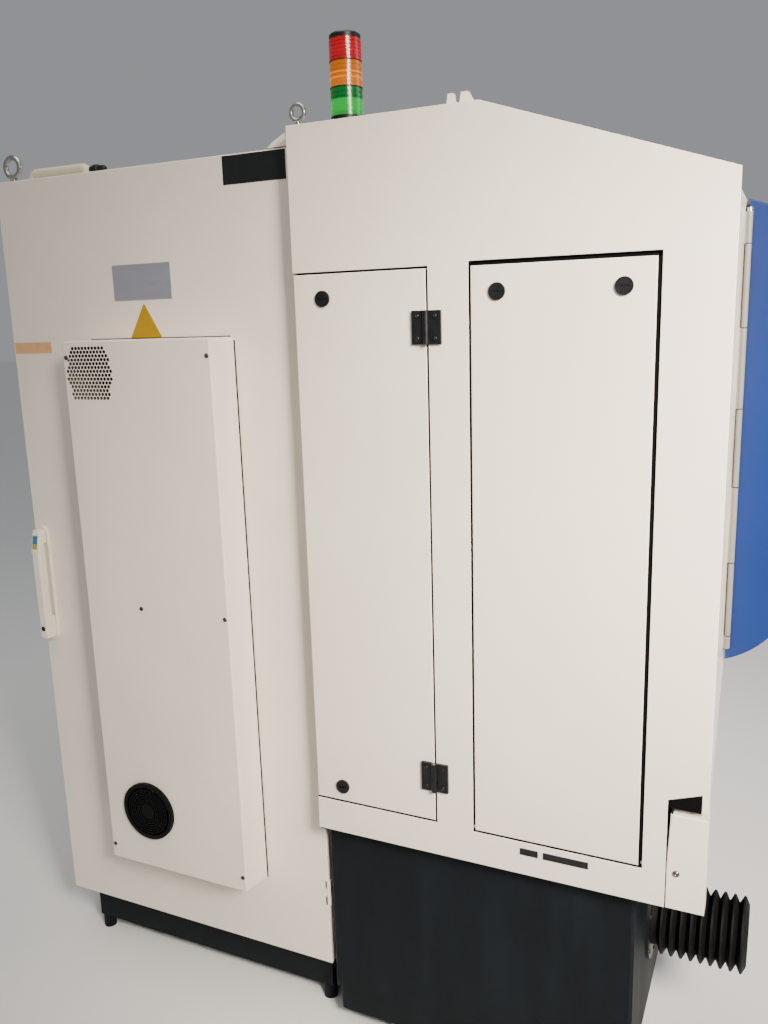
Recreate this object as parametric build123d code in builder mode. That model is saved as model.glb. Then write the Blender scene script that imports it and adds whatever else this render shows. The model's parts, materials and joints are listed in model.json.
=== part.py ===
"""CNC tool grinder: sheet-metal enclosure on a cast base, with an electrical cabinet behind it.

Places are counted in millimetres inward from the left side panel, rearward from
the front face and up from the floor. The datum plane puts that corner in the frame,
whose origin is the middle of the footprint.
"""
import os

from build123d import *

# Sheet metal, gaps and fits
sheet = 2  # thickness of panels
fold = 20  # depth of a door's folded edge
seal = 2  # space between a closed door and the lip behind it
lip = 16  # width of the lip that a door closes on
seam = 3.5  # visible gap round a door
running = 0.05  # radial play of a pin or shaft in its bore
loose = 0.3  # radial play of a fixed round piece in its hole
slide_play = 0.5  # play between a slide and its way

# Enclosure
body_width = 1500
body_depth = 790
body_bottom = 531
ridge = 1958  # roof height where it is flat
ridge_start = 417  # where the slope meets the flat
eave = ridge - 143  # top of the side sheets at the front face
roof_step = 33  # how far the roof sheet lies below the side sheets there
front_recess = 60  # how far the apron stands behind the front face
front_edge_outer = body_bottom + 204  # lower edge of the front face at the corners
front_edge_middle = body_bottom + 420  # lower edge of the front face below the door
front_edge_run = 200  # width over which that edge climbs

# Cabinet
cabinet_side = 72  # left side of the cabinet's shell
cabinet_gap = 13  # space between the two housings
cabinet_depth = 777
cabinet_front = body_depth + cabinet_gap
cabinet_rear = cabinet_front + cabinet_depth
cabinet_right = body_width - 50
cabinet_bottom = 146
cabinet_top = ridge - 24
cabinet_lip = 16

# Doors, as spans rearward and upward, or inward and upward for the front door
service_span = ((518, body_depth - 1), (body_bottom + 76, ridge - 267))
access_span = ((118, 434), (body_bottom + 73.5, ridge - 267))
access_play_front, access_play_top = 7, 8
door_span = ((160, body_width - 360), (front_edge_middle + 16, eave - 31))
cover_span = ((cabinet_front + 162, cabinet_front + 546), (cabinet_bottom + 201, cabinet_top - 354.5))

# Reaches past the side panel and the front face
cover_reach = 37
guard_depth = 8
door_bulge = 114
handle_reach = 46
left_reach = cover_reach + guard_depth
front_reach = door_bulge + handle_reach

left = (left_reach - body_width) / 2
front = (front_reach - cabinet_rear) / 2
machine = Plane(origin=(left, front, 0))
side_plane = Plane(origin=(left, front, 0), x_dir=(0, 1, 0), z_dir=(1, 0, 0))
front_plane = Plane(origin=(left, front, 0), x_dir=(1, 0, 0), z_dir=(0, -1, 0))

directions = {"inward": (0, 90, 0), "rearward": (-90, 0, 0), "up": (0, 0, 0)}


def block(x, y, z, mode=Mode.ADD):
    """Box between a near and a far plane each way."""
    middle = Vector((x[0] + x[1]) / 2, (y[0] + y[1]) / 2, (z[0] + z[1]) / 2)
    with Locations(machine.from_local_coords(middle)):
        Box(x[1] - x[0], y[1] - y[0], z[1] - z[0], mode=mode)


def bar(x, y, z, way, radius, length, mode=Mode.ADD):
    """Round bar that starts at a point and runs one way."""
    start = machine.from_local_coords(Vector(x, y, z))
    with Locations(Location(start, directions[way])):
        Cylinder(radius, length, align=(Align.CENTER, Align.CENTER, Align.MIN), mode=mode)


def tray(x, y, z):
    """Folded sheet tray, open on its inward side."""
    block(x, y, z)
    block((x[0] + sheet, x[1]), (y[0] + sheet, y[1] - sheet), (z[0] + sheet, z[1] - sheet), Mode.SUBTRACT)


def side_profile(start, depth, points):
    """Prism whose outline is given as rearward and upward places."""
    with BuildSketch(side_plane.offset(start)) as outline:
        with BuildLine():
            Polyline(points, close=True)
        make_face()
    extrude(outline.sketch, amount=depth)


def widened(span, near, far):
    return (span[0] - near, span[1] + far)


def roof_at(rearward):
    """Height of the roof sheet's upper face."""
    share = min(rearward / ridge_start, 1)
    return eave - roof_step + (ridge - eave + roof_step) * share


# Base: a casting with a closed sump bay on the left and two bays open below
base_side = 40
base_front = 126
base_floor = 40
pan_thickness = 3
base_top = body_bottom - pan_thickness
base_wall = 24
base_seam = 108
base_step = 8
base_corner = 6
base_rib = 20
drain_x, drain_z, drain_radius = 300, 300, 58
sump_hole = (300, 240)

foot_radius = 38
foot_pad = 14
foot_neck = 12
foot_boss = 45
nut_height = 12
foot_x = (base_side + 90, body_width / 2, body_width - base_side - 90)
foot_y = (base_front + 65, body_depth - 65)

base_x = (base_side, body_width - base_side)
base_y = (base_front, body_depth)

with BuildPart() as machine_base:
    footprint_middle = ((base_x[0] + base_x[1]) / 2, (base_y[0] + base_y[1]) / 2)
    for bottom, top, step in ((base_floor, base_seam, base_step), (base_seam, base_top, 0)):
        with BuildSketch(machine.offset(bottom)) as footprint:
            with Locations(footprint_middle):
                Rectangle(base_x[1] - base_x[0] - 2 * step, base_y[1] - base_y[0] - 2 * step)
            chamfer(footprint.vertices(), base_corner)
        extrude(amount=top - bottom)
    bay = (base_x[1] - base_x[0] - 2 * base_wall - 2 * base_rib) / 3
    for index, bay_floor in enumerate((base_floor + base_wall, base_floor, base_floor)):
        bay_start = base_x[0] + base_wall + index * (bay + base_rib)
        block(
            (bay_start, bay_start + bay),
            (base_y[0] + base_wall, base_y[1] - base_wall),
            (bay_floor, base_top - base_wall),
            Mode.SUBTRACT,
        )
    for x in foot_x:
        for y in foot_y:
            block(
                (x - foot_boss, x + foot_boss),
                (y - foot_boss, y + foot_boss),
                (base_floor, base_floor + base_wall),
            )
    bar(drain_x, base_front, drain_z, "rearward", drain_radius, base_wall, Mode.SUBTRACT)
    bar(*sump_hole, base_top - base_wall, "up", drain_radius, base_wall, Mode.SUBTRACT)

# Levelling feet: pad, neck and lock nut turned in one piece
with BuildPart() as levelling_feet:
    for x in foot_x:
        for y in foot_y:
            bar(x, y, 0, "up", foot_radius, foot_pad)
            bar(x, y, foot_pad, "up", foot_neck, base_floor - foot_pad)
            with BuildSketch(machine.offset(base_floor - nut_height)):
                with Locations((x, y)):
                    RegularPolygon(18, 6)
            extrude(amount=nut_height)

# Floor pan with the recessed front apron folded up from it
with BuildPart() as floor_pan:
    block((sheet, body_width - sheet), (front_recess, body_depth - sheet), (base_top, body_bottom))
    bar(*sump_hole, base_top, "up", drain_radius, pan_thickness, Mode.SUBTRACT)
    with BuildSketch(front_plane.offset(-front_recess)):
        with BuildLine():
            Polyline(
                (sheet, body_bottom),
                (body_width - sheet, body_bottom),
                (body_width - sheet, front_edge_outer),
                (body_width - front_edge_run, front_edge_middle),
                (front_edge_run, front_edge_middle),
                (sheet, front_edge_outer),
                close=True,
            )
        make_face()
    extrude(amount=-sheet)

# Left side panel with its two door openings and the notch above the corner cover
corner_width = 68
corner_top = body_bottom + 190
corner_slot = 1.5
corner_slant = 8  # how much narrower the cover gets towards its top
corner_slant_start = corner_top - 100
corner_return = 40
post_width = 12
notch_front, notch_rear = corner_top + 47, corner_top + 27
service_opening = (
    (service_span[0][0] - seam, body_depth),
    widened(service_span[1], seam, seam),
)
access_opening = (
    widened(access_span[0], access_play_front, seam),
    widened(access_span[1], seam, access_play_top),
)
lip_face = fold + seal
rear_post = 60
pivot_radius = 3
pivot_x, pivot_z = 6, access_span[1][0] + 5.5

with BuildPart() as side_panel:
    with BuildSketch(side_plane):
        with BuildLine():
            Polyline(
                (corner_width + corner_slot, body_bottom),
                (body_depth, body_bottom),
                (body_depth, ridge),
                (ridge_start, ridge),
                (0, eave),
                (0, front_edge_outer),
                (post_width, front_edge_outer),
                (post_width, notch_front),
                (corner_width + corner_slot, notch_rear),
                close=True,
            )
        make_face()
    extrude(amount=sheet)
    for y, z in (service_opening, access_opening):
        block((0, sheet), y, z, Mode.SUBTRACT)
        rear = min(y[1] + sheet, body_depth)
        block((sheet, lip_face + sheet), (y[0] - sheet, rear), widened(z, sheet, sheet))
        block((sheet, lip_face), y, z, Mode.SUBTRACT)
        block(
            (lip_face, lip_face + sheet),
            widened(y, -lip, -lip),
            widened(z, -lip, -lip),
            Mode.SUBTRACT,
        )
    rear_fold = (body_depth - sheet, body_depth)
    block((sheet, rear_post), rear_fold, (body_bottom, ridge - sheet))
    block((sheet, lip_face), rear_fold, service_opening[1], Mode.SUBTRACT)
    block(
        (sheet, lip_face + sheet),
        (corner_width + corner_slot, body_depth - sheet),
        (body_bottom, body_bottom + sheet),
    )
    bar(pivot_x, 0, pivot_z, "rearward", pivot_radius + running, access_opening[0][1] + fold, Mode.SUBTRACT)

# Corner cover: its own folded piece at the front foot of the side panel
with BuildPart() as corner_cover:
    side_profile(
        0,
        sheet,
        [
            (0, body_bottom),
            (corner_width, body_bottom),
            (corner_width, corner_slant_start),
            (corner_width - corner_slant, corner_top),
            (0, corner_top),
        ],
    )
    block((0, corner_return), (0, sheet), (body_bottom, corner_top))
    return_depth = min(front_recess, corner_width - corner_slant)
    block((0, corner_return), (0, return_depth), (corner_top - sheet, corner_top))
    block((0, corner_return), (0, return_depth), (body_bottom, body_bottom + sheet))
    bar(0, corner_width - 17.5, body_bottom + 74, "inward", 3, sheet, Mode.SUBTRACT)

# Right side panel and rear wall
partition_side = 162

with BuildPart() as right_panel:
    side_profile(
        body_width - sheet,
        sheet,
        [
            (front_recess, body_bottom),
            (body_depth, body_bottom),
            (body_depth, ridge),
            (ridge_start, ridge),
            (0, eave),
            (0, front_edge_outer),
            (front_recess, front_edge_outer),
        ],
    )
    block(
        (body_width - lip_face, body_width - sheet),
        (front_recess + sheet, body_depth - sheet),
        (body_bottom, body_bottom + sheet),
    )

with BuildPart() as rear_wall:
    block((rear_post, body_width - sheet), (body_depth - sheet, body_depth), (body_bottom, ridge - sheet))
    block(
        (partition_side + sheet, body_width - lip_face),
        (body_depth - lip_face, body_depth),
        (ridge - 2 * sheet, ridge - sheet),
    )

# Roof sheet with the two lugs that its lifting bar was bolted to
roof_underside = [(body_depth, ridge - sheet), (ridge_start, ridge - sheet), (0, roof_at(0) - sheet)]
lug_side, lug_thickness = 35, 10
lug_start, lug_height = ridge_start + 17, 24

with BuildPart() as roof_panel:
    side_profile(
        sheet,
        body_width - 2 * sheet,
        [(0, roof_at(0)), (ridge_start, ridge), (body_depth, ridge)] + roof_underside,
    )
    for foot, tip in (((36, 54), (40, 50)), ((0, 30), (13, 26))):
        side_profile(
            lug_side,
            lug_thickness,
            [(lug_start + y, ridge) for y in foot] + [(lug_start + y, ridge + lug_height) for y in reversed(tip)],
        )

# Front frame: one folded sheet round the door opening, its lower edge turned inward
frame_opening = (widened(door_span[0], 10, -12), widened(door_span[1], -23, -9))
frame_top = roof_at(0) - sheet
flange_rise = 3

with BuildPart() as front_frame:
    lower_edge = [
        (sheet, front_edge_outer),
        (front_edge_run, front_edge_middle),
        (body_width - front_edge_run, front_edge_middle),
        (body_width - sheet, front_edge_outer),
    ]
    with BuildSketch(front_plane):
        with BuildLine():
            Polyline(lower_edge + [(body_width - sheet, frame_top), (sheet, frame_top)], close=True)
        make_face()
    extrude(amount=-sheet)
    with BuildSketch(front_plane):
        with BuildLine():
            Polyline(lower_edge + [(x, z + flange_rise) for x, z in reversed(lower_edge)], close=True)
        make_face()
    extrude(amount=-front_recess)
    x, z = frame_opening
    block(widened(x, sheet, sheet), (0, front_recess), widened(z, sheet, sheet))
    block(x, (0, front_recess), z, Mode.SUBTRACT)

# Wall between the service bay and the work space
with BuildPart() as service_partition:
    side_profile(
        partition_side,
        sheet,
        [
            (front_recess + sheet, body_bottom),
            (body_depth - sheet, body_bottom),
            (body_depth - sheet, ridge - 2 * sheet),
            (ridge_start, ridge - 2 * sheet),
            (front_recess + sheet, roof_at(front_recess + sheet) - 2 * sheet),
        ],
    )

# Cabinet shell, open to the left, with the fixed knuckles of its door hinge
hinge_x, hinge_y = 56, cabinet_front + 2.5
hinge_margin = 184
hinge_heights = (cabinet_bottom + hinge_margin, (cabinet_bottom + cabinet_top) / 2, cabinet_top - hinge_margin)
hinge_length = 60
knuckle_gap = 0.5
knuckle_radius = 5
cabinet_pin = 3
leaf = 2.5
third = hinge_length / 6
knuckle_split = (third - knuckle_gap / 2, third + knuckle_gap / 2)

with BuildPart() as cabinet_shell:
    x = (cabinet_side, cabinet_right)
    y = (cabinet_front, cabinet_rear)
    z = (cabinet_bottom, cabinet_top)
    block(x, y, z)
    block((x[0], x[1] - sheet), widened(y, -sheet, -sheet), widened(z, -sheet, -sheet), Mode.SUBTRACT)
    block((x[0], x[0] + sheet), widened(y, -sheet, -sheet), widened(z, -sheet, -sheet))
    block((x[0], x[0] + sheet), widened(y, -cabinet_lip, -cabinet_lip), widened(z, -cabinet_lip, -cabinet_lip), Mode.SUBTRACT)
    for spacer_x in (300, 1200):
        for spacer_z in (cabinet_bottom + 554, cabinet_top - 234):
            block((spacer_x, spacer_x + 60), (body_depth, cabinet_front), (spacer_z, spacer_z + 60))
    for height in hinge_heights:
        for start in (height - hinge_length / 2, height + knuckle_split[1]):
            length = hinge_length / 2 - knuckle_split[1]
            block(
                (hinge_x, cabinet_side + 40),
                (hinge_y - knuckle_radius, cabinet_front),
                (start, start + length),
            )
            bar(hinge_x, hinge_y, start, "up", knuckle_radius, length)
        bar(hinge_x, hinge_y, height - hinge_length / 2, "up", cabinet_pin + running, hinge_length, Mode.SUBTRACT)

# Plinth under the cabinet, and its feet
plinth_bottom = 37
plinth_inset = 30
plinth_foot = 16

with BuildPart() as cabinet_plinth:
    x = (cabinet_side + plinth_inset, cabinet_right - plinth_inset)
    y = (cabinet_front + plinth_inset, cabinet_rear - plinth_inset)
    block(x, y, (plinth_bottom, cabinet_bottom))
    block(
        widened(x, -plinth_inset, -plinth_inset),
        widened(y, -plinth_inset, -plinth_inset),
        (plinth_bottom, cabinet_bottom),
        Mode.SUBTRACT,
    )
    for foot in [(a, b) for a in (x[0] + 15, x[1] - 15) for b in (y[0] + 15, y[1] - 15)]:
        bar(*foot, 0, "up", plinth_foot, plinth_bottom)

# Mounting plate and the electrics on it
plate_side = 400
plate_thickness = 3

with BuildPart() as mounting_plate:
    block(
        (plate_side, plate_side + plate_thickness),
        (cabinet_front + sheet, cabinet_rear - sheet),
        (cabinet_bottom + 60, cabinet_top - 60),
    )

drive_count = 6
drive_width, drive_height, drive_depth = 78, 360, 190
drive_start, drive_bottom, drive_pitch = cabinet_front + 57, cabinet_top - 554, 92
fin_count = 5

with BuildPart() as servo_drives:
    for index in range(drive_count):
        near = drive_start + index * drive_pitch
        block((plate_side - drive_depth, plate_side), (near, near + drive_width), (drive_bottom, drive_bottom + drive_height))
        block(
            (plate_side - drive_depth, plate_side - drive_depth + 4),
            (near + 8, near + drive_width - 8),
            (drive_bottom + 60, drive_bottom + drive_height - 90),
            Mode.SUBTRACT,
        )
        for fin in range(fin_count):
            groove = near + 10 + fin * 13
            block(
                (plate_side - 90, plate_side - 20),
                (groove, groove + 6),
                (drive_bottom + drive_height - 30, drive_bottom + drive_height),
                Mode.SUBTRACT,
            )

duct_heights = (drive_bottom - 120, drive_bottom - 560, drive_bottom - 1000)
duct_span = (cabinet_front + 47, cabinet_rear - 40)

with BuildPart() as cable_ducts:
    for height in duct_heights:
        block((plate_side - 60, plate_side), duct_span, (height, height + 60))
        for index in range(14):
            slot = duct_span[0] + 18 + index * 48
            block((plate_side - 60, plate_side - 54), (slot, slot + 14), (height + 34, height + 60), Mode.SUBTRACT)

# Junction cover over the gap between the two roofs
with BuildPart() as junction_cover:
    side_profile(
        50,
        cabinet_right - 50,
        [
            (body_depth, cabinet_top),
            (cabinet_front + 59, cabinet_top),
            (cabinet_front + 44, cabinet_top + 11),
            (cabinet_front + 20, ridge - 1),
            (body_depth, ridge - 1),
        ],
    )

# Lifting eye bolts
eye_bolts_at = (
    (cabinet_side + 8, cabinet_rear - 27, cabinet_top, 27, 6),
    (cabinet_right - 30, cabinet_rear - 27, cabinet_top, 27, 6),
    (17, body_depth - 18, ridge, 17.5, 4),
    (body_width - 17, body_depth - 18, ridge, 17.5, 4),
)

with BuildPart() as eye_bolts:
    for x, y, seat, outer, wire in eye_bolts_at:
        bar(x, y, seat, "up", wire * 1.6, 4)
        bar(x, y, seat + 3, "up", wire * 0.9, 8)
        centre = machine.from_local_coords(Vector(x, y, seat + 6 + outer))
        with Locations(Location(centre, directions["inward"])):
            Torus(outer - wire, wire)

# Beige conduit on the cabinet roof
conduit_x, conduit_radius, conduit_rise = cabinet_side + 18, 11, 14
conduit_length = 155
conduit_start = cabinet_rear - 78 - conduit_length

with BuildPart() as roof_conduit:
    route_height = cabinet_top + conduit_rise
    with BuildLine():
        route = Polyline(
            machine.from_local_coords(Vector(conduit_x, conduit_start, cabinet_top)),
            machine.from_local_coords(Vector(conduit_x, conduit_start, route_height)),
            machine.from_local_coords(Vector(conduit_x, conduit_start + conduit_length, route_height)),
            machine.from_local_coords(Vector(conduit_x, conduit_start + conduit_length, cabinet_top)),
        )
        fillet(route.vertices().group_by(Axis.Z)[-1], conduit_radius + 1)
    with BuildSketch(machine.offset(cabinet_top)):
        with Locations((conduit_x, conduit_start)):
            Circle(conduit_radius)
            Circle(conduit_radius - 2, mode=Mode.SUBTRACT)
    sweep()

# Stack light
lamp_x, lamp_y, lamp_radius = 70, body_depth - 94, 30
lamp_foot = 15
lens_heights = (50, 45, 38)
lamp_levels = [ridge + lamp_foot + sum(lens_heights[:tier]) for tier in range(4)]
lamp_cap = 10
lamp_wall = 3
lamp_ribs = 6


def lens(bottom, top):
    """Ribbed lens tube, open at both ends."""
    pitch = (top - bottom) / lamp_ribs
    bar(lamp_x, lamp_y, bottom, "up", lamp_radius - 1.2, top - bottom)
    for rib in range(lamp_ribs):
        bar(lamp_x, lamp_y, bottom + rib * pitch, "up", lamp_radius, pitch * 0.6)
    bar(lamp_x, lamp_y, bottom, "up", lamp_radius - lamp_wall, top - bottom, Mode.SUBTRACT)


with BuildPart() as lamp_base:
    bar(lamp_x, lamp_y, ridge, "up", lamp_radius + 4, 5)
    bar(lamp_x, lamp_y, ridge, "up", lamp_radius - 1, lamp_levels[0] - ridge)
    bar(lamp_x, lamp_y, ridge, "up", 12, lamp_levels[-1] - ridge)

with BuildPart() as green_lens:
    lens(lamp_levels[0], lamp_levels[1])

with BuildPart() as amber_lens:
    lens(lamp_levels[1], lamp_levels[2])

with BuildPart() as red_lens:
    lens(lamp_levels[2], lamp_levels[3])

with BuildPart() as lamp_lid:
    bar(lamp_x, lamp_y, lamp_levels[3], "up", lamp_radius - 1, lamp_cap)
    chamfer(lamp_lid.faces().sort_by(Axis.Z)[-1].edges(), 3)

# Drain bellows on the front of the base
bellows_outer, bellows_inner, bellows_wall = 77.5, 62, 4
bellows_pitch = 20
bellows_folds = 9
bellows_collar = 12
flange_radius, flange_depth = 92, 6

with BuildPart() as drain_flange:
    bar(drain_x, base_front - flange_depth, drain_z, "rearward", flange_radius, flange_depth)
    bar(drain_x, base_front - flange_depth, drain_z, "rearward", drain_radius, flange_depth, Mode.SUBTRACT)

with BuildPart() as drain_bellows:
    with BuildSketch(machine.offset(drain_z)):
        seat = base_front - flange_depth
        wave = [(bellows_inner, seat), (bellows_inner, seat - bellows_collar)]
        for index in range(bellows_folds):
            ring = seat - bellows_collar - index * bellows_pitch
            wave += [(bellows_outer, ring - bellows_pitch * 0.4), (bellows_outer, ring - bellows_pitch * 0.6)]
            wave += [(bellows_inner, ring - bellows_pitch)]
        inside = [(radius - bellows_wall, y) for radius, y in reversed(wave)]
        with BuildLine():
            Polyline([(drain_x + radius, y) for radius, y in wave + inside], close=True)
        make_face()
    revolve(axis=Axis(machine.from_local_coords(Vector(drain_x, 0, drain_z)), (0, 1, 0)))

# Machine bed, a casting with two ways for the saddle
bed_x, bed_y, bed_top = (380, 1260), (220, body_depth - 50), body_bottom + 229
way_width, way_height = 34, 22
bed_ways = (600, 1040)
column_depth = 150
bed_way_span = (bed_y[0] + 20, bed_y[1] - column_depth - 30)

with BuildPart() as machine_bed:
    with BuildSketch(front_plane.offset(-bed_y[0])):
        with BuildLine():
            Polyline(
                (bed_x[0], body_bottom),
                (bed_x[1], body_bottom),
                (bed_x[1], body_bottom + 50),
                (bed_x[1] - 110, body_bottom + 130),
                (bed_x[1] - 110, bed_top),
                (bed_x[0] + 110, bed_top),
                (bed_x[0] + 110, body_bottom + 130),
                (bed_x[0], body_bottom + 50),
                close=True,
            )
        make_face()
    extrude(amount=bed_y[0] - bed_y[1])
    for way in bed_ways:
        block((way - way_width / 2, way + way_width / 2), bed_way_span, (bed_top, bed_top + way_height))

# Column behind the bed, with upright ways for the wheel head
column_x, column_y, column_top = (560, 1080), (bed_y[1] - column_depth, bed_y[1]), bed_top + 800
column_ways = (640, 1000)
column_pockets, column_rib = 3, 25
pocket_width = (column_x[1] - column_x[0] - (column_pockets + 1) * column_rib) / column_pockets

with BuildPart() as column:
    block(column_x, column_y, (bed_top, column_top))
    for pocket in range(column_pockets):
        start = column_x[0] + column_rib + pocket * (pocket_width + column_rib)
        block(
            (start, start + pocket_width),
            (column_y[0] + 40, column_y[1]),
            (bed_top + 60, column_top - 40),
            Mode.SUBTRACT,
        )
    for way in column_ways:
        block(
            (way - way_width / 2, way + way_width / 2),
            (column_y[0] - way_height, column_y[0]),
            (bed_top + 200, column_top - 60),
        )

# Saddle, table, workhead and collet
saddle_x, saddle_y = column_x, (bed_y[0] + 90, bed_y[0] + 260)
saddle_z = (bed_top + 6, bed_top + 52)
table_ways = (saddle_y[0] + 35, saddle_y[1] - 35)
table_z = (saddle_z[1] + 8, saddle_z[1] + 50)
swivel_x, swivel_y = (saddle_x[0] + saddle_x[1]) / 2, (saddle_y[0] + saddle_y[1]) / 2
swivel_radius, swivel_height = 75, 22
table_x = (swivel_x - 140, swivel_x + 140)
head_x, head_half_width, head_top = (swivel_x - 100, swivel_x + 100), 45, table_z[1] + 148
collet_z = head_top - 62
collet_shaft, collet_depth = 15, 45

with BuildPart() as saddle:
    block(saddle_x, saddle_y, saddle_z)
    for way in bed_ways:
        half = way_width / 2 + slide_play
        block((way - half, way + half), saddle_y, (saddle_z[0], bed_top + way_height + slide_play), Mode.SUBTRACT)
    for way in table_ways:
        block(saddle_x, (way - way_width / 2, way + way_width / 2), (saddle_z[1], saddle_z[1] + way_height))

with BuildPart() as table:
    table_y = (saddle_y[0] + 5, saddle_y[1] - 5)
    block(table_x, table_y, table_z)
    for way in table_ways:
        half = way_width / 2 + slide_play
        block(table_x, (way - half, way + half), (table_z[0], saddle_z[1] + way_height + slide_play), Mode.SUBTRACT)
    for groove in (swivel_y - 65, swivel_y, swivel_y + 65):
        block(table_x, (groove - 5, groove + 5), (table_z[1] - 8, table_z[1]), Mode.SUBTRACT)

with BuildPart() as workhead:
    bar(swivel_x, swivel_y, table_z[1], "up", swivel_radius, swivel_height)
    with BuildSketch(side_plane.offset(head_x[0])):
        with Locations((swivel_y, (table_z[1] + swivel_height + head_top) / 2)):
            RectangleRounded(2 * head_half_width, head_top - table_z[1] - swivel_height, 14)
    extrude(amount=head_x[1] - head_x[0])
    bar(head_x[0], swivel_y, collet_z, "inward", collet_shaft + running, collet_depth, Mode.SUBTRACT)

with BuildPart() as collet:
    bar(head_x[0] - 30, swivel_y, collet_z, "inward", 28, 29.5)
    bar(head_x[0] - 48, swivel_y, collet_z, "inward", 20, 18)
    bar(head_x[0] - 30, swivel_y, collet_z, "inward", collet_shaft, 30 + collet_depth - 1)
    bar(head_x[0] - 48, swivel_y, collet_z, "inward", 8, 40, Mode.SUBTRACT)

# Wheel head on the column, and the wheel pack on its spindle
spindle_z, spindle_radius = bed_top + 540, 55
carriage_x, carriage_y = (600, 1040), (column_y[0] - 65, column_y[0] - 8)
carriage_z = (spindle_z - 100, spindle_z + 100)
spindle_y = carriage_y[0] - 85
spindle_x = (700, 940)
arbor_radius = 12
wheels = ((spindle_x[0] - 88, 75, 14), (spindle_x[0] - 60, 60, 12), (spindle_x[0] - 34, 70, 12))

with BuildPart() as wheel_head:
    block(carriage_x, carriage_y, carriage_z)
    for way in column_ways:
        half = way_width / 2 + slide_play
        rear_face = column_y[0] - way_height - slide_play
        block((way - half, way + half), (rear_face, carriage_y[1]), carriage_z, Mode.SUBTRACT)
    block((740, 900), (spindle_y, carriage_y[0]), (spindle_z - 45, spindle_z + 45))
    bar(spindle_x[0], spindle_y, spindle_z, "inward", spindle_radius, spindle_x[1] - spindle_x[0])
    bar(spindle_x[0], spindle_y, spindle_z, "inward", arbor_radius + running, 60, Mode.SUBTRACT)

with BuildPart() as wheel_pack:
    bar(wheels[0][0] - 10, spindle_y, spindle_z, "inward", arbor_radius, spindle_x[0] - wheels[0][0] + 68)
    for x, radius, width in wheels:
        bar(x, spindle_y, spindle_z, "inward", radius, width)
    bar(wheels[0][0] - 6, spindle_y, spindle_z, "inward", 24, 6)
    bar(wheels[-1][0], spindle_y, spindle_z, "inward", 24, 30)

# Cabinet door with its knuckles and the studs that carry the cooling cover
door_face = 50
cabinet_door_x = (door_face, door_face + fold)
cabinet_door_gap = 2
handle_y, handle_bottom, handle_length = cabinet_rear - 27, 850, 290
handle_pivot, handle_top = handle_bottom + 30, handle_bottom + handle_length
handle_spindle = 7
stud_radius = 6
screw_radius = 2.5
cover_edge_y, cover_edge_z = widened(cover_span[0], -9, -9.5), widened(cover_span[1], -35.5, -35)
cover_screws_at = [(y, z) for y in cover_edge_y for z in cover_edge_z]
cover_screws_at += [(cover_edge_y[0], cover_span[1][0] + 647), (cover_span[0][0] + 230.5, cover_span[1][0] + 647)]

with BuildPart() as cabinet_door:
    tray(cabinet_door_x, (cabinet_front, cabinet_rear), (cabinet_bottom + cabinet_door_gap, cabinet_top - cabinet_door_gap))
    for height in hinge_heights:
        reach = hinge_length / 2 + 1
        block(
            (door_face, hinge_x + 8),
            (cabinet_front, hinge_y + 6.5),
            (height - reach, height + reach),
            Mode.SUBTRACT,
        )
        block(
            (door_face + sheet, door_face + sheet + leaf),
            (hinge_y, hinge_y + 35),
            (height - knuckle_split[0], height + knuckle_split[0]),
        )
        bar(hinge_x, hinge_y, height - knuckle_split[0], "up", knuckle_radius, 2 * knuckle_split[0])
        bar(hinge_x, hinge_y, height - reach, "up", cabinet_pin + running, 2 * reach, Mode.SUBTRACT)
    for y, z in cover_screws_at:
        bar(sheet - cover_reach, y, z, "inward", stud_radius, cover_reach - sheet + door_face)
        bar(sheet - cover_reach, y, z, "inward", screw_radius + loose, 14, Mode.SUBTRACT)
    bar(door_face, handle_y, handle_pivot, "inward", handle_spindle + loose, sheet, Mode.SUBTRACT)

# Cooling cover with the punched vent field and the fan opening
fan_y, fan_z = cover_span[0][1] - 125, cover_span[1][0] + 149
fan_bore, guard_radius = 62, 70
vent_y, vent_z = cover_span[0][1] - 70, cover_span[1][1] - 68.5
vent_rows, vent_pitch, vent_hole = 14, 9.0, 3.7
vent_half_width, vent_slope = 64, 5.2
cover_drop = 20  # how far the lower wall falls towards the door


def cover_outline(wall):
    """Outline of the cover seen from the front, smaller by a wall except where it is open."""
    low, high = cover_span[1]
    Polyline(
        (wall - cover_reach, low + wall),
        (door_face, low + wall - cover_drop),
        (door_face, high - wall),
        (wall - cover_reach, high - wall),
        close=True,
    )


with BuildPart() as cooling_cover:
    for wall, mode in ((0, Mode.ADD), (sheet, Mode.SUBTRACT)):
        near, far = widened(cover_span[0], -wall, -wall)
        with BuildSketch(front_plane.offset(-near)):
            with BuildLine():
                cover_outline(wall)
            make_face()
        extrude(amount=near - far, mode=mode)
    bar(-cover_reach, fan_y, fan_z, "inward", fan_bore, sheet, Mode.SUBTRACT)
    for y, z in cover_screws_at:
        bar(-cover_reach, y, z, "inward", screw_radius + loose, sheet, Mode.SUBTRACT)
    row_rise = vent_pitch * 0.9
    with BuildSketch(side_plane.offset(-cover_reach)):
        for row in range(vent_rows):
            from_middle = row - (vent_rows - 1) / 2
            half = vent_half_width - vent_slope * abs(from_middle) / 2
            shift = vent_pitch / 2 if row % 2 else 0
            holes = [step * vent_pitch + shift for step in range(-8, 9)]
            places = [(vent_y + y, vent_z + from_middle * row_rise) for y in holes if abs(y) <= half]
            with Locations(*places):
                Circle(vent_hole)
    extrude(amount=sheet, mode=Mode.SUBTRACT)

with BuildPart() as cover_screws:
    for y, z in cover_screws_at:
        bar(-cover_reach - 2.5, y, z, "inward", 5, 2.5)
        bar(-cover_reach - 2.5, y, z, "inward", screw_radius, 14)

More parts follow.
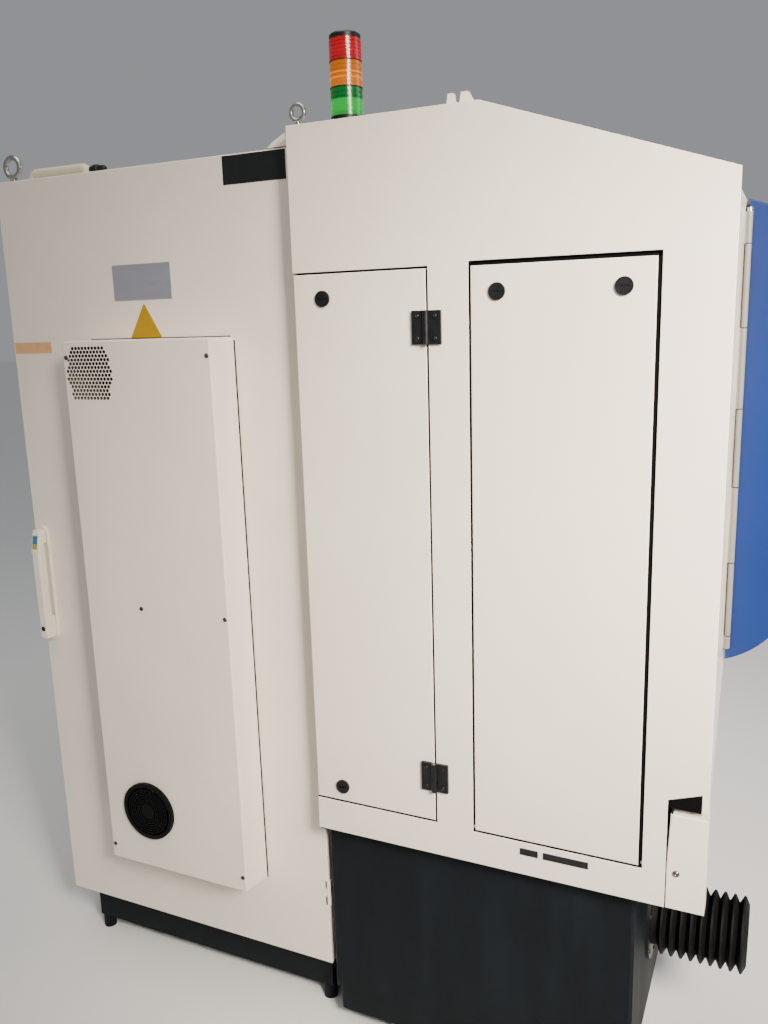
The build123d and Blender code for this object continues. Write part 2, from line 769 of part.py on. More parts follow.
# Fan: guard outside the cover, frame inside it, impeller on the frame's shaft
guard_wire, guard_pitch, guard_hub = 3, 6, 19
guard_rim = fan_bore - 2  # inner radius of the rim, which hides the edge of the cover's hole
fan_frame_half = fan_bore + 6
fan_back = 0
hub_radius, hub_shaft = 26, 4

with BuildPart() as fan_guard:
    outside = -cover_reach - guard_depth
    bar(outside, fan_y, fan_z, "inward", guard_radius, guard_depth)
    bar(outside, fan_y, fan_z, "inward", guard_rim, guard_depth, Mode.SUBTRACT)
    ring = guard_hub + guard_pitch
    while ring < guard_rim - guard_wire:
        with BuildSketch(side_plane.offset(outside)):
            with Locations((fan_y, fan_z)):
                Circle(ring)
                Circle(ring - guard_wire, mode=Mode.SUBTRACT)
        extrude(amount=guard_wire)
        ring += guard_pitch
    bar(outside, fan_y, fan_z, "inward", guard_hub, guard_wire)
    with BuildSketch(side_plane.offset(outside + guard_wire)):
        with Locations((fan_y, fan_z)):
            with PolarLocations((guard_rim + guard_hub) / 2, 4, 45):
                Rectangle(guard_rim - guard_hub + 4, guard_wire)
    extrude(amount=guard_wire)

with BuildPart() as fan_frame:
    inside = sheet - cover_reach
    block((inside, fan_back), (fan_y - fan_frame_half, fan_y + fan_frame_half), (fan_z - fan_frame_half, fan_z + fan_frame_half))
    bar(inside, fan_y, fan_z, "inward", fan_bore, fan_back - inside, Mode.SUBTRACT)
    bar(fan_back - 8, fan_y, fan_z, "inward", hub_radius, 8)
    block((fan_back - 6, fan_back), (fan_y - fan_bore - 2, fan_y + fan_bore + 2), (fan_z - 3, fan_z + 3))
    block((fan_back - 6, fan_back), (fan_y - 3, fan_y + 3), (fan_z - fan_bore - 2, fan_z + fan_bore + 2))
    bar(fan_back - 22, fan_y, fan_z, "inward", hub_shaft, 16)

blade_count = 7
blade_thickness = 2
blade_root, blade_tip = hub_radius - 2, fan_bore - 3

with BuildPart() as fan_impeller:
    bar(inside + 3, fan_y, fan_z, "inward", hub_radius, fan_back - inside - 3 - 8.5)
    centre = machine.from_local_coords(Vector((inside + fan_back - 6) / 2, fan_y, fan_z))
    with Locations(Plane(origin=centre, x_dir=(0, 1, 0), z_dir=(1, 0, 0))):
        with PolarLocations((blade_root + blade_tip) / 2, blade_count):
            Box(blade_tip - blade_root, blade_thickness, 22, rotation=(32, 0, 0))
    bar(inside, fan_y, fan_z, "inward", hub_shaft + running, fan_back - inside, Mode.SUBTRACT)

# Swing handle: backplate, and the lever with its spindle and cam
plate_depth = 6
lever_gap = 1
lever_depth = 27
lever_half, lever_end = 13, 10
lever_bevel = 62  # length over which the upper end slopes back to the door
finger_gap = 8
cam_thickness = 3
cam_overlap = 10  # how far the turned cam lies behind the cabinet's lip
cabinet_cam = cabinet_rear - cabinet_lip - handle_y + cam_overlap

with BuildPart() as handle_plate:
    with BuildSketch(side_plane.offset(door_face - plate_depth)):
        with Locations((handle_y, (handle_bottom + handle_top) / 2)):
            SlotOverall(handle_top - handle_bottom, 34, rotation=90)
    extrude(amount=plate_depth)
    with BuildSketch(side_plane.offset(door_face - plate_depth)):
        with Locations((handle_y, (handle_bottom + handle_top) / 2 + 20)):
            SlotOverall(handle_top - handle_bottom - 56, 26, rotation=90)
    extrude(amount=plate_depth / 2, mode=Mode.SUBTRACT)
    bar(door_face - plate_depth, handle_y, handle_pivot, "inward", handle_spindle + running, plate_depth, Mode.SUBTRACT)

with BuildPart() as handle_lever:
    lever_back = door_face - plate_depth - lever_gap
    lever_front = lever_back - lever_depth
    with BuildSketch(front_plane.offset(lever_half - handle_y)):
        with BuildLine():
            Polyline(
                (lever_back, handle_bottom + 12),
                (lever_back, handle_top - 8),
                (lever_front + lever_end, handle_top - 8),
                (lever_front, handle_top - lever_bevel),
                (lever_front, handle_bottom + 12),
                close=True,
            )
        make_face()
    extrude(amount=-2 * lever_half)
    outer_faces = [face for face in handle_lever.faces() if face.normal_at().X < -0.5]
    fillet([edge for face in outer_faces for edge in face.edges().filter_by(Axis.Y, reverse=True)], 6)
    block(
        (lever_back - finger_gap, lever_back),
        (handle_y - lever_half, handle_y + lever_half),
        (handle_pivot + 34, handle_top - 40),
        Mode.SUBTRACT,
    )
    cam_start = cabinet_side + sheet + seal
    bar(lever_back, handle_y, handle_pivot, "inward", handle_spindle, cam_start - lever_back)
    block(
        (cam_start, cam_start + cam_thickness),
        (handle_y - 8, handle_y + 8),
        (handle_pivot - 10, handle_pivot + cabinet_cam),
    )

# Narrow service door and its block hinges
latch_radius, latch_head, latch_shank = 15, 4, 9
latch_cam_start = lip_face + sheet + seal
cam_half = 8
service_latch_y = service_span[0][1] - 62
service_latches = (service_span[1][1] - 45.5, service_span[1][0] + 33.5)
service_hinges = (service_span[1][1] - 103, service_span[1][0] + 98)
block_hinge_x = -7
block_hinge_y = (service_opening[0][0] + service_span[0][0]) / 2
block_knuckle, block_pin = 6, 2.5
hinge_leaf_reach, leaf_start, leaf_depth = 28, block_knuckle + 0.6, 6
block_third = 10

with BuildPart() as service_door:
    tray((0, fold), *service_span)
    for z in service_latches:
        bar(0, service_latch_y, z, "inward", latch_shank + loose, sheet, Mode.SUBTRACT)


def block_hinge_leaf(side, spans):
    """Half of each block hinge: a plate, and knuckles at the given heights."""
    for middle in service_hinges:
        plate = sorted((block_hinge_y + side * leaf_start, block_hinge_y + side * hinge_leaf_reach))
        block((-leaf_depth, 0), plate, (middle - hinge_length / 2, middle + hinge_length / 2))
        for low, high in spans:
            arm = sorted((block_hinge_y, block_hinge_y + side * leaf_start))
            block((-leaf_depth, -1), arm, (middle + low, middle + high))
            bar(block_hinge_x, block_hinge_y, middle + low, "up", block_knuckle, high - low)
        bar(block_hinge_x, block_hinge_y, middle - 31, "up", block_pin + running, 62, Mode.SUBTRACT)


with BuildPart() as service_hinge_leaves:
    block_hinge_leaf(-1, ((-hinge_length / 2, -block_third), (block_third, hinge_length / 2)))

with BuildPart() as service_door_leaves:
    block_hinge_leaf(1, ((-block_third + knuckle_gap, block_third - knuckle_gap),))


def latch(y, z, cam_y, cam_z):
    """Quarter-turn latch: slotted head, shank and the cam behind the panel."""
    bar(-latch_head, y, z, "inward", latch_radius, latch_head)
    block((-latch_head, -latch_head + 2), (y - 8, y + 8), (z - 1.5, z + 1.5), Mode.SUBTRACT)
    bar(0, y, z, "inward", latch_shank, latch_cam_start)
    block((latch_cam_start, latch_cam_start + cam_thickness), cam_y, cam_z)


service_cam = 58
access_cam = 48
access_latch_z = access_span[1][1] - 45
access_latches = (access_span[0][1] - 48.7, access_span[0][0] + 51.7)

with BuildPart() as service_latch_upper:
    z = service_latches[0]
    latch(service_latch_y, z, (service_latch_y - cam_half, service_latch_y + cam_half), (z - service_cam, z + cam_half))

with BuildPart() as service_latch_lower:
    z = service_latches[1]
    latch(service_latch_y, z, (service_latch_y - cam_half, service_latch_y + cam_half), (z - cam_half, z + service_cam))

# Wide access panel that tilts out on two bottom studs
with BuildPart() as access_panel:
    tray((0, fold), *access_span)
    for y in access_latches:
        bar(0, y, access_latch_z, "inward", latch_shank + loose, sheet, Mode.SUBTRACT)
    stud_start = access_opening[0][0] - sheet
    bar(pivot_x, stud_start, pivot_z, "rearward", pivot_radius, access_span[0][0] + sheet - stud_start)
    stud_start = access_span[0][1] - sheet
    bar(pivot_x, stud_start, pivot_z, "rearward", pivot_radius, access_opening[0][1] + sheet - stud_start)

with BuildPart() as access_latch_rear:
    y = access_latches[0]
    z = access_latch_z
    latch(y, z, (y - access_cam, y + cam_half), (z - cam_half, z + cam_half))

with BuildPart() as access_latch_front:
    y = access_latches[1]
    z = access_latch_z
    latch(y, z, (y - cam_half, y + access_cam), (z - cam_half, z + cam_half))

# Front door: a bulged hollow shell with a window, hung on a long hinge
door_wall = 3
door_back = 3
door_top_front = door_span[1][1] - 38
door_arc_radius = 165
door_arc_start = door_span[1][0] + 156
long_hinge_x, long_hinge_y, long_knuckle, long_pin = door_span[0][0] - 6, -6, 5.5, 2.5
long_hinge_span = widened(door_span[1], -25, -22)
hinge_height = long_hinge_span[1] - long_hinge_span[0]
hinge_first, hinge_pitch = 24, 139
window_span = (widened(door_span[0], -220, -180), widened(door_span[1], -213, -124))
window_overlap, window_thickness = 18, 6
back_flange = 25

with BuildPart() as front_door:
    x, z = door_span
    with BuildSketch(side_plane.offset(x[0])) as door_profile:
        with BuildLine():
            Line((-door_back, z[0]), (-door_back, z[1]))
            Line((-door_back, z[1]), (-door_bulge, door_top_front))
            Line((-door_bulge, door_top_front), (-door_bulge, door_arc_start))
            RadiusArc((-door_bulge, door_arc_start), (-door_back, z[0]), -door_arc_radius)
        make_face()
    extrude(amount=x[1] - x[0])
    with BuildSketch(side_plane.offset(x[0] + door_wall)):
        add(door_profile.sketch_local)
        offset(amount=-door_wall, kind=Kind.INTERSECTION, mode=Mode.REPLACE)
    extrude(amount=x[1] - x[0] - 2 * door_wall, mode=Mode.SUBTRACT)
    block(
        widened(x, -back_flange, -back_flange),
        (-door_back - 2 * door_wall, -door_back),
        widened(z, -back_flange, -back_flange),
        Mode.SUBTRACT,
    )
    block(window_span[0], (-door_bulge, -door_bulge + door_wall), window_span[1], Mode.SUBTRACT)

with BuildPart() as door_window:
    pane = -door_bulge + door_wall
    block(
        widened(window_span[0], window_overlap, window_overlap),
        (pane, pane + window_thickness),
        widened(window_span[1], window_overlap, window_overlap),
    )

grip_x, grip_radius = door_span[0][1] - 55, 11
grip_span = (door_span[1][0] + 323, door_span[1][0] + 623)

with BuildPart() as door_handle:
    for z in grip_span:
        bar(grip_x, -door_bulge - handle_reach + grip_radius, z, "rearward", 9, handle_reach - grip_radius)
    bar(
        grip_x,
        -door_bulge - handle_reach + grip_radius,
        grip_span[0] - 25,
        "up",
        grip_radius,
        grip_span[1] - grip_span[0] + 50,
    )

joint_count = int((hinge_height - hinge_first) // hinge_pitch) + 1
hinge_joints = [long_hinge_span[0] + hinge_first + index * hinge_pitch for index in range(joint_count)]
hinge_marks = [long_hinge_span[0]] + hinge_joints + [long_hinge_span[1]]
hinge_spans = list(zip(hinge_marks[:-1], hinge_marks[1:]))

with BuildPart() as door_hinge_leaf:
    leaf_x = (x[0], x[0] + back_flange - 3)
    leaf_y = (-door_back, -door_back + sheet)
    block(leaf_x, leaf_y, long_hinge_span)
    for low, high in hinge_spans[1::2]:
        block((long_hinge_x, x[0]), leaf_y, (low + knuckle_gap, high - knuckle_gap))
        bar(long_hinge_x, long_hinge_y, low + knuckle_gap, "up", long_knuckle, high - low - 2 * knuckle_gap)
    bar(long_hinge_x, long_hinge_y, long_hinge_span[0], "up", long_pin + running, hinge_height, Mode.SUBTRACT)

with BuildPart() as frame_hinge_leaf:
    leaf_x = (frame_opening[0][0], frame_opening[0][0] + sheet)
    block(leaf_x, (sheet, back_flange), long_hinge_span)
    for low, high in hinge_spans[::2]:
        block(leaf_x, (long_hinge_y, sheet), (low, high))
        bar(long_hinge_x, long_hinge_y, low, "up", long_knuckle, high - low)
    bar(long_hinge_x, long_hinge_y, long_hinge_span[0], "up", long_pin + running, hinge_height, Mode.SUBTRACT)

# Pins of the block hinges and the cabinet hinges, and the rod of the long hinge
with BuildPart() as hinge_pins:
    for height in service_hinges:
        bar(block_hinge_x, block_hinge_y, height - hinge_length / 2, "up", block_pin, hinge_length)
    for height in hinge_heights:
        bar(hinge_x, hinge_y, height - hinge_length / 2, "up", cabinet_pin, hinge_length)
    bar(long_hinge_x, long_hinge_y, long_hinge_span[0] - 2, "up", long_pin, hinge_height + 4)
    bar(long_hinge_x, long_hinge_y, long_hinge_span[1], "up", long_knuckle, 7)

# Control panel on the right column of the front frame, with its buttons
panel_x = (door_span[0][1] + 40, body_width - 30)
panel_face, panel_top = -55, eave - 125
screen_x, screen_z, screen_depth = widened(panel_x, -25, -25), (panel_top - 290, panel_top - 40), 4
button_z, button_bore = panel_top - 345, 8
stop_x, start_x = widened(panel_x, -55, -55)

with BuildPart() as control_panel:
    side_profile(
        panel_x[0],
        panel_x[1] - panel_x[0],
        [
            (0, panel_top - 510),
            (0, panel_top),
            (panel_face, panel_top - 20),
            (panel_face, panel_top - 390),
            (-110, panel_top - 425),
            (-110, panel_top - 450),
        ],
    )
    block(screen_x, (panel_face, panel_face + screen_depth), screen_z, Mode.SUBTRACT)
    for x in (stop_x, start_x):
        bar(x, panel_face, button_z, "rearward", button_bore + running, 30, Mode.SUBTRACT)

with BuildPart() as control_screen:
    block(
        widened(screen_x, -slide_play, -slide_play),
        (panel_face, panel_face + screen_depth),
        widened(screen_z, -slide_play, -slide_play),
    )

with BuildPart() as stop_button:
    bar(stop_x, panel_face - 26, button_z, "rearward", 20, 14)
    bar(stop_x, panel_face - 12, button_z, "rearward", button_bore, 30)

with BuildPart() as start_button:
    bar(start_x, panel_face - 9, button_z, "rearward", 11, 3)
    bar(start_x, panel_face - 9, button_z, "rearward", button_bore, 27)

pieces = {
    "machine_base": machine_base,
    "levelling_feet": levelling_feet,
    "floor_pan": floor_pan,
    "side_panel": side_panel,
    "corner_cover": corner_cover,
    "right_panel": right_panel,
    "rear_wall": rear_wall,
    "roof_panel": roof_panel,
    "front_frame": front_frame,
    "service_partition": service_partition,
    "cabinet_shell": cabinet_shell,
    "cabinet_plinth": cabinet_plinth,
    "mounting_plate": mounting_plate,
    "servo_drives": servo_drives,
    "cable_ducts": cable_ducts,
    "junction_cover": junction_cover,
    "eye_bolts": eye_bolts,
    "roof_conduit": roof_conduit,
    "lamp_base": lamp_base,
    "green_lens": green_lens,
    "amber_lens": amber_lens,
    "red_lens": red_lens,
    "lamp_cap": lamp_lid,
    "drain_flange": drain_flange,
    "drain_bellows": drain_bellows,
    "machine_bed": machine_bed,
    "column": column,
    "saddle": saddle,
    "table": table,
    "workhead": workhead,
    "collet": collet,
    "wheel_head": wheel_head,
    "wheel_pack": wheel_pack,
    "cabinet_door": cabinet_door,
    "cooling_cover": cooling_cover,
    "cover_screws": cover_screws,
    "fan_guard": fan_guard,
    "fan_frame": fan_frame,
    "fan_impeller": fan_impeller,
    "handle_plate": handle_plate,
    "handle_lever": handle_lever,
    "service_door": service_door,
    "service_hinge_leaves": service_hinge_leaves,
    "service_door_leaves": service_door_leaves,
    "hinge_pins": hinge_pins,
    "service_latch_upper": service_latch_upper,
    "service_latch_lower": service_latch_lower,
    "access_panel": access_panel,
    "access_latch_rear": access_latch_rear,
    "access_latch_front": access_latch_front,
    "front_door": front_door,
    "door_window": door_window,
    "door_handle": door_handle,
    "door_hinge_leaf": door_hinge_leaf,
    "frame_hinge_leaf": frame_hinge_leaf,
    "control_panel": control_panel,
    "control_screen": control_screen,
    "stop_button": stop_button,
    "start_button": start_button,
}

os.makedirs("parts", exist_ok=True)
for name, piece in pieces.items():
    piece.part.label = name
    export_step(piece.part, f"parts/{name}.step")
print(len(pieces), "pieces written")
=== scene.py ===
# %% [markdown]
# # An enclosed tool grinder, dressed for its portrait
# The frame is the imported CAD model: a sheet-metal cabin on a dark cast base, with an electrical
# cabinet behind. This scene keeps its shapes, gives each piece the finish of the real one, and adds
# what is too small for the CAD: folded edges, rubber seals, screw heads and bare plates.

import json
import math

import bmesh
import bpy
from mathutils import Matrix, Vector


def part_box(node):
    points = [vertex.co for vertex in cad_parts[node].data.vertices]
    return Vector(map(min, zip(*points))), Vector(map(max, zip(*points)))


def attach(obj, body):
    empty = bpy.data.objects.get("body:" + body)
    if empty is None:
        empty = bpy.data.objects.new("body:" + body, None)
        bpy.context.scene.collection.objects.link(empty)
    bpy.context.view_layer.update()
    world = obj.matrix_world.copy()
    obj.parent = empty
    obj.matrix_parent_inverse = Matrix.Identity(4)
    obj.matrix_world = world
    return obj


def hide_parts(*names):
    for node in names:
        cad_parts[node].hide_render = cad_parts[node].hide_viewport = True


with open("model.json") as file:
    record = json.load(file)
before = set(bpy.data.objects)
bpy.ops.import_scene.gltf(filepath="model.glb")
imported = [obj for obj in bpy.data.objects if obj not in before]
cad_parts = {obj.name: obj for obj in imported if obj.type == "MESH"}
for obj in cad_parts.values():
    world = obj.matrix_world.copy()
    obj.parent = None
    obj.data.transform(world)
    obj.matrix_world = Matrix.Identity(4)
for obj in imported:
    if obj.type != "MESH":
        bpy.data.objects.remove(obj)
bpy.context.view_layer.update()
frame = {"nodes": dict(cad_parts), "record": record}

# %% [markdown]
# ## Counting places as the maker does
# The left side panel and the front face are the machine's two reference faces, so places are
# counted in millimetres inward from one, rearward from the other, and up from the floor.

# %% Reference faces
MM = 0.001
side_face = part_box("side_panel")[0].x
front_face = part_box("side_panel")[0].y


def place(inward, rearward, up):
    """A point in the frame from millimetres inward, rearward and up."""
    return Vector((side_face + inward * MM, front_face + rearward * MM, up * MM))


def reach(node):
    """A node's near and far corners, in millimetres inward, rearward and up."""
    low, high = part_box(node)
    offset = Vector((side_face, front_face, 0))
    return (low - offset) / MM, (high - offset) / MM


print("cooling cover", *[[round(v) for v in corner] for corner in reach("cooling_cover")])

# %% [markdown]
# ## Colours, and a short way to build shader nodes
# Paint charts give colours as sRGB hex. Shaders work in linear light, so one function turns them.
# A second one adds a shader node with its settings and links in a single line.

# %% Helpers for finishes


def linear(code, alpha=1.0):
    """An sRGB hex colour as linear RGBA."""
    channels = [int(code[i : i + 2], 16) / 255 for i in (1, 3, 5)]
    return [c / 12.92 if c <= 0.04045 else ((c + 0.055) / 1.055) ** 2.4 for c in channels] + [alpha]


def add_node(tree, kind, settings=None, **inputs):
    """A node with its settings. An input is a value, or another node's output to link from.

    It is given by its name, or as i0, i1 and so on by its number.
    """
    made = tree.nodes.new(kind)
    for name, value in (settings or {}).items():
        setattr(made, name, value)
    for name, value in inputs.items():
        socket = made.inputs[int(name[1:]) if name[1:].isdigit() else name.replace("_", " ")]
        if isinstance(value, bpy.types.NodeSocket):
            tree.links.new(value, socket)
        else:
            socket.default_value = value
    return made


def finish(name, base, roughness, metallic=0.0, **settings):
    """A material with one Principled shader, and that shader with its tree."""
    made = bpy.data.materials.new(name)
    made.use_nodes = True
    tree = made.node_tree
    shader = tree.nodes["Principled BSDF"]
    shader.inputs["Base Color"].default_value = linear(base)
    shader.inputs["Roughness"].default_value = roughness
    shader.inputs["Metallic"].default_value = metallic
    for socket, value in settings.items():
        shader.inputs[socket.replace("_", " ")].default_value = value
    return made, tree, shader


print("helpers for finishes ready")

# %% [markdown]
# ## Patterns with real sizes
# Nothing on a machine is one even tone. Each finish below takes patterns whose grains have a real
# size, and lets them work on the surface: dark and light colours, less or more gloss, a relief of
# real depth. Noise lies about its middle value, so its range is stretched before it sets the gloss.

# %% Patterns
noise_low, noise_high = 0.3, 0.7


def pattern(tree, grain_mm, detail, roughness=0.55, stretch=(1, 1, 1)):
    """A pattern on the piece's own coordinates, whose grains are about one real size across."""
    coordinates = add_node(tree, "ShaderNodeTexCoord").outputs["Object"]
    mapped = add_node(tree, "ShaderNodeMapping", Vector=coordinates, Scale=stretch)
    grains = add_node(
        tree,
        "ShaderNodeTexNoise",
        Vector=mapped.outputs["Vector"],
        Scale=1 / (grain_mm * MM),
        Detail=detail,
        Roughness=roughness,
    )
    return grains.outputs["Fac"]


def work_on(shader, tree, grains, colours=None, gloss=None, depth_mm=None):
    """Lets a pattern set a shader's colour, its gloss or its relief.

    Colours are two levels of the pattern and their hex colours; gloss is a range of roughness.
    """
    if colours:
        low, high, dark, light = colours
        tones = add_node(tree, "ShaderNodeValToRGB", Fac=grains)
        for stop, level, code in zip(tones.color_ramp.elements, (low, high), (dark, light)):
            stop.position, stop.color = level, linear(code)
        tree.links.new(tones.outputs["Color"], shader.inputs["Base Color"])
    if gloss:
        shine, dull = gloss
        levels = {"i1": noise_low, "i2": noise_high, "i3": shine, "i4": dull}
        stretched = add_node(tree, "ShaderNodeMapRange", Value=grains, **levels)
        tree.links.new(stretched.outputs["Result"], shader.inputs["Roughness"])
    if depth_mm:
        bump = add_node(tree, "ShaderNodeBump", Height=grains, Distance=depth_mm * MM)
        tree.links.new(bump.outputs["Normal"], shader.inputs["Normal"])


print("patterns ready")

# %% [markdown]
# ## Powder coat on sheet steel
# The cabin and the cabinet are powder coated: resin dust melted on the sheet, which leaves a faint
# orange peel a few millimetres across. That breaks reflections into a soft satin. Dust and hands
# leave broad patches a shade darker and smears a shade duller. Three patterns do it: broad for
# colour, middle for gloss, fine for relief. The front frame has a smoother coat, so beside the blue
# door it mirrors a little of the door's colour.

# %% Painted finishes
patch_mm, smear_mm = 320, 60


def powder_coat(name, light, dark, roughness, peel_mm=2.6, peel_depth=0.05):
    made, tree, shader = finish(name, light, roughness)
    patches = pattern(tree, patch_mm, 4)
    work_on(shader, tree, patches, colours=(0.35, 0.7, dark, light))
    smears = pattern(tree, smear_mm, 5)
    work_on(shader, tree, smears, gloss=(roughness - 0.05, roughness + 0.08))
    work_on(shader, tree, pattern(tree, peel_mm, 1), depth_mm=peel_depth)
    return made


cabin_white = powder_coat("powder_coat_warm_white", "#EFE4D6", "#E8DCCE", 0.40)
smooth_white = powder_coat(
    "powder_coat_smooth_white", "#E4DACF", "#DED3C7", 0.16, peel_depth=0.01
)
# The hinge's grey is set far darker than its light grey paint, so that its front face reads dim:
# painted shade.
hinge_grey = powder_coat("light_grey_powder_coat_with_painted_shade", "#74726A", "#6B6962", 0.42)
casting_grey = powder_coat(
    "machine_grey_enamel", "#8B8E8E", "#7F8282", 0.45, peel_mm=4, peel_depth=0.1
)
print("paints", cabin_white.name, smooth_white.name, hinge_grey.name, casting_grey.name)

# %% [markdown]
# ## Charcoal paint on the cast base
# A casting is filled and sprayed by hand, so its paint is rougher than powder coat. Coolant and
# grinding dust dry on it as paler vertical runs, so the pattern is stretched along Z.

# %% Base paint
# The base colour is set darker than the charcoal paint, for the shade under the cabin's overhang:
# painted shade. The paler runs are dried coolant and dust.
base_charcoal_and_shade, tree, shader = finish(
    "sprayed_charcoal_enamel_with_painted_shade", "#0E1317", 0.6, Specular_IOR_Level=0.14
)
runs = pattern(tree, 55, 5, stretch=(1, 1, 0.18))
work_on(shader, tree, runs, colours=(0.35, 0.8, "#0D1216", "#151C21"), gloss=(0.56, 0.66))
work_on(shader, tree, pattern(tree, 3.5, 3), depth_mm=0.12)
print("base", base_charcoal_and_shade.name)

# %% [markdown]
# ## Glossy blue on the front door
# The door's shell is sprayed with two-pack enamel and clear lacquer. A clear coat over the colour
# gives the sharp highlight, while the colour under it stays soft.

# %% Door enamel
door_blue, tree, shader = finish(
    "two_pack_blue_enamel", "#082058", 0.34, Coat_Weight=0.35, Coat_Roughness=0.08
)
work_on(shader, tree, pattern(tree, 400, 2), colours=(0.3, 0.75, "#071E52", "#0A255E"))
work_on(shader, tree, pattern(tree, 4, 1), depth_mm=0.02)
print("door", door_blue.name)

# %% [markdown]
# ## Mouldings, rubber and foam
# Latches, block hinges and the lamp's foot are moulded from glass-filled nylon: black, satin and
# slightly grained by the mould. The bellows is soft rubber, duller, and grey where dust sits on it.
# One plan makes these and the other plastics: a base colour, dust as a second tone that is also
# duller, and a grain for relief. The grinding wheels have it too, with the coarsest grain.

# %% Moulded finishes
dust_mm = 14


def moulded(name, base, dusty, roughness, grain_mm, grain_depth, shine=0.35):
    made, tree, shader = finish(name, base, roughness, Specular_IOR_Level=shine)
    tone_field = pattern(tree, dust_mm, 6, roughness=0.65)
    dulled = (roughness, roughness + 0.12)
    work_on(shader, tree, tone_field, colours=(0.45, 0.85, base, dusty), gloss=dulled)
    work_on(shader, tree, pattern(tree, grain_mm, 2), depth_mm=grain_depth)
    return made


black_nylon = moulded("moulded_black_nylon", "#0D0E10", "#17181A", 0.36, 1.2, 0.04)
fan_black = moulded("moulded_black_fan", "#050506", "#0A0A0C", 0.36, 1.2, 0.02, shine=0.12)
# The rubber's base is set nearly black, for the deep shade round the drain where the bellows sits:
# painted shade. The window gasket shares this finish.
bellows_rubber = moulded("black_nitrile_rubber_with_painted_shade", "#060708", "#111213", 0.6, 1.8, 0.08, shine=0.2)
# This near-black foam makes the real seals, and also the black pieces that stand for shade in the
# gaps, in the corner notch and round the cooling cover's foot: painted shade.
seal_and_shade_foam = moulded("closed_cell_foam_and_painted_shade", "#030304", "#09090A", 0.8, 1.5, 0.1, shine=0.1)
panel_grey = moulded("textured_grey_abs", "#55585A", "#606365", 0.5, 1.5, 0.08)
conduit_beige = moulded("beige_pvc", "#D6CDB8", "#C9BFA8", 0.4, 5, 0.03)
abrasive = moulded("vitrified_grit", "#8C6F5E", "#A58B7A", 0.85, 0.9, 0.25)
stop_red = moulded("red_abs", "#B5120F", "#A81411", 0.25, 3, 0.01)
start_green = moulded("green_abs", "#11823A", "#127A38", 0.25, 3, 0.01)
screen_black = moulded("dark_screen_cover", "#08090B", "#0B0C0E", 0.12, 6, 0.003)
print("mouldings", black_nylon.name, bellows_rubber.name, seal_and_shade_foam.name)

# %% [markdown]
# ## Bare metals
# Zinc-plated pins and eye bolts keep a soft grey shine, the slides are ground and oiled, and the
# mounting plate is galvanised sheet with its spangle. All are metals, so only roughness, tone and
# a little relief tell them apart. One grain drives all three. Ground and brushed metal has it
# stretched along the strokes.

# %% Metals


def metal(name, light, dark, roughness, grain_mm, stretch=(1, 1, 1), depth=0.01):
    made, tree, shader = finish(name, light, roughness, metallic=1.0)
    grain = pattern(tree, grain_mm, 4, stretch=stretch)
    worn = (roughness - 0.06, roughness + 0.1)
    work_on(shader, tree, grain, colours=(0.3, 0.7, dark, light), gloss=worn, depth_mm=depth)
    return made


along_x, along_y = (0.05, 1, 1), (1, 0.03, 1)
zinc_steel = metal("zinc_plated_steel", "#B9B8B2", "#9C9B95", 0.3, 6)
galvanised = metal("galvanised_sheet", "#A9ABAB", "#8F9293", 0.42, 18, depth=0.02)
ground_steel = metal("ground_oiled_steel", "#C4C4C2", "#A9A9A7", 0.22, 1.2, stretch=along_x)
plate_alloy = metal(
    "anodised_aluminium", "#CFCDD6", "#CAC8D1", 0.5, 1.0, stretch=along_y, depth=0.002
)
nickel_steel = metal("nickel_plated_screws", "#8E8982", "#6A655E", 0.28, 4)
burnished_steel = metal("burnished_screw_steel", "#5E5650", "#3C3631", 0.35, 4)
print("metals", zinc_steel.name, ground_steel.name, plate_alloy.name)

# %% [markdown]
# ## Clear plastics
# The door's window is clear polycarbonate, and the stack light has ribbed coloured lenses over a
# lamp. Transmission with a tint does the lens. A little emission stands for the light inside: the
# photograph shows it as bands at certain heights, so a ramp over the lens's height sets its share.

# %% Window and lenses
window_clear, tree, shader = finish(
    "clear_polycarbonate", "#E6EEF0", 0.06, IOR=1.58, Transmission_Weight=0.92
)
work_on(shader, tree, pattern(tree, 120, 1), depth_mm=0.05)


def lens_plastic(name, base, glow, strength, node, bands):
    """A tinted lens whose glow lies in bands: (height in the lens from 0 to 1, share)."""
    made, tree, shader = finish(name, base, 0.2, IOR=1.49, Transmission_Weight=0.3)
    shader.inputs["Emission Color"].default_value = linear(glow)
    low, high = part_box(node)
    coordinates = add_node(tree, "ShaderNodeTexCoord").outputs["Object"]
    up = add_node(tree, "ShaderNodeSeparateXYZ", Vector=coordinates).outputs["Z"]
    heights = {"i1": low.z, "i2": high.z, "i3": 0.0, "i4": 1.0}
    level = add_node(tree, "ShaderNodeMapRange", Value=up, **heights)
    layers = add_node(tree, "ShaderNodeValToRGB", Fac=level.outputs["Result"])
    stops = layers.color_ramp.elements
    stops[0].position, stops[1].position = bands[0][0], bands[-1][0]
    for position, share in bands[1:-1]:
        stops.new(position)
    for stop, (position, share) in zip(stops, bands):
        stop.color = (share, share, share, 1)
    times = {"operation": "MULTIPLY"}
    bright = add_node(tree, "ShaderNodeMath", times, i0=layers.outputs["Color"], i1=strength)
    tree.links.new(bright.outputs["Value"], shader.inputs["Emission Strength"])
    work_on(shader, tree, pattern(tree, 2.0, 0, stretch=(1, 1, 0.05)), depth_mm=0.15)
    return made


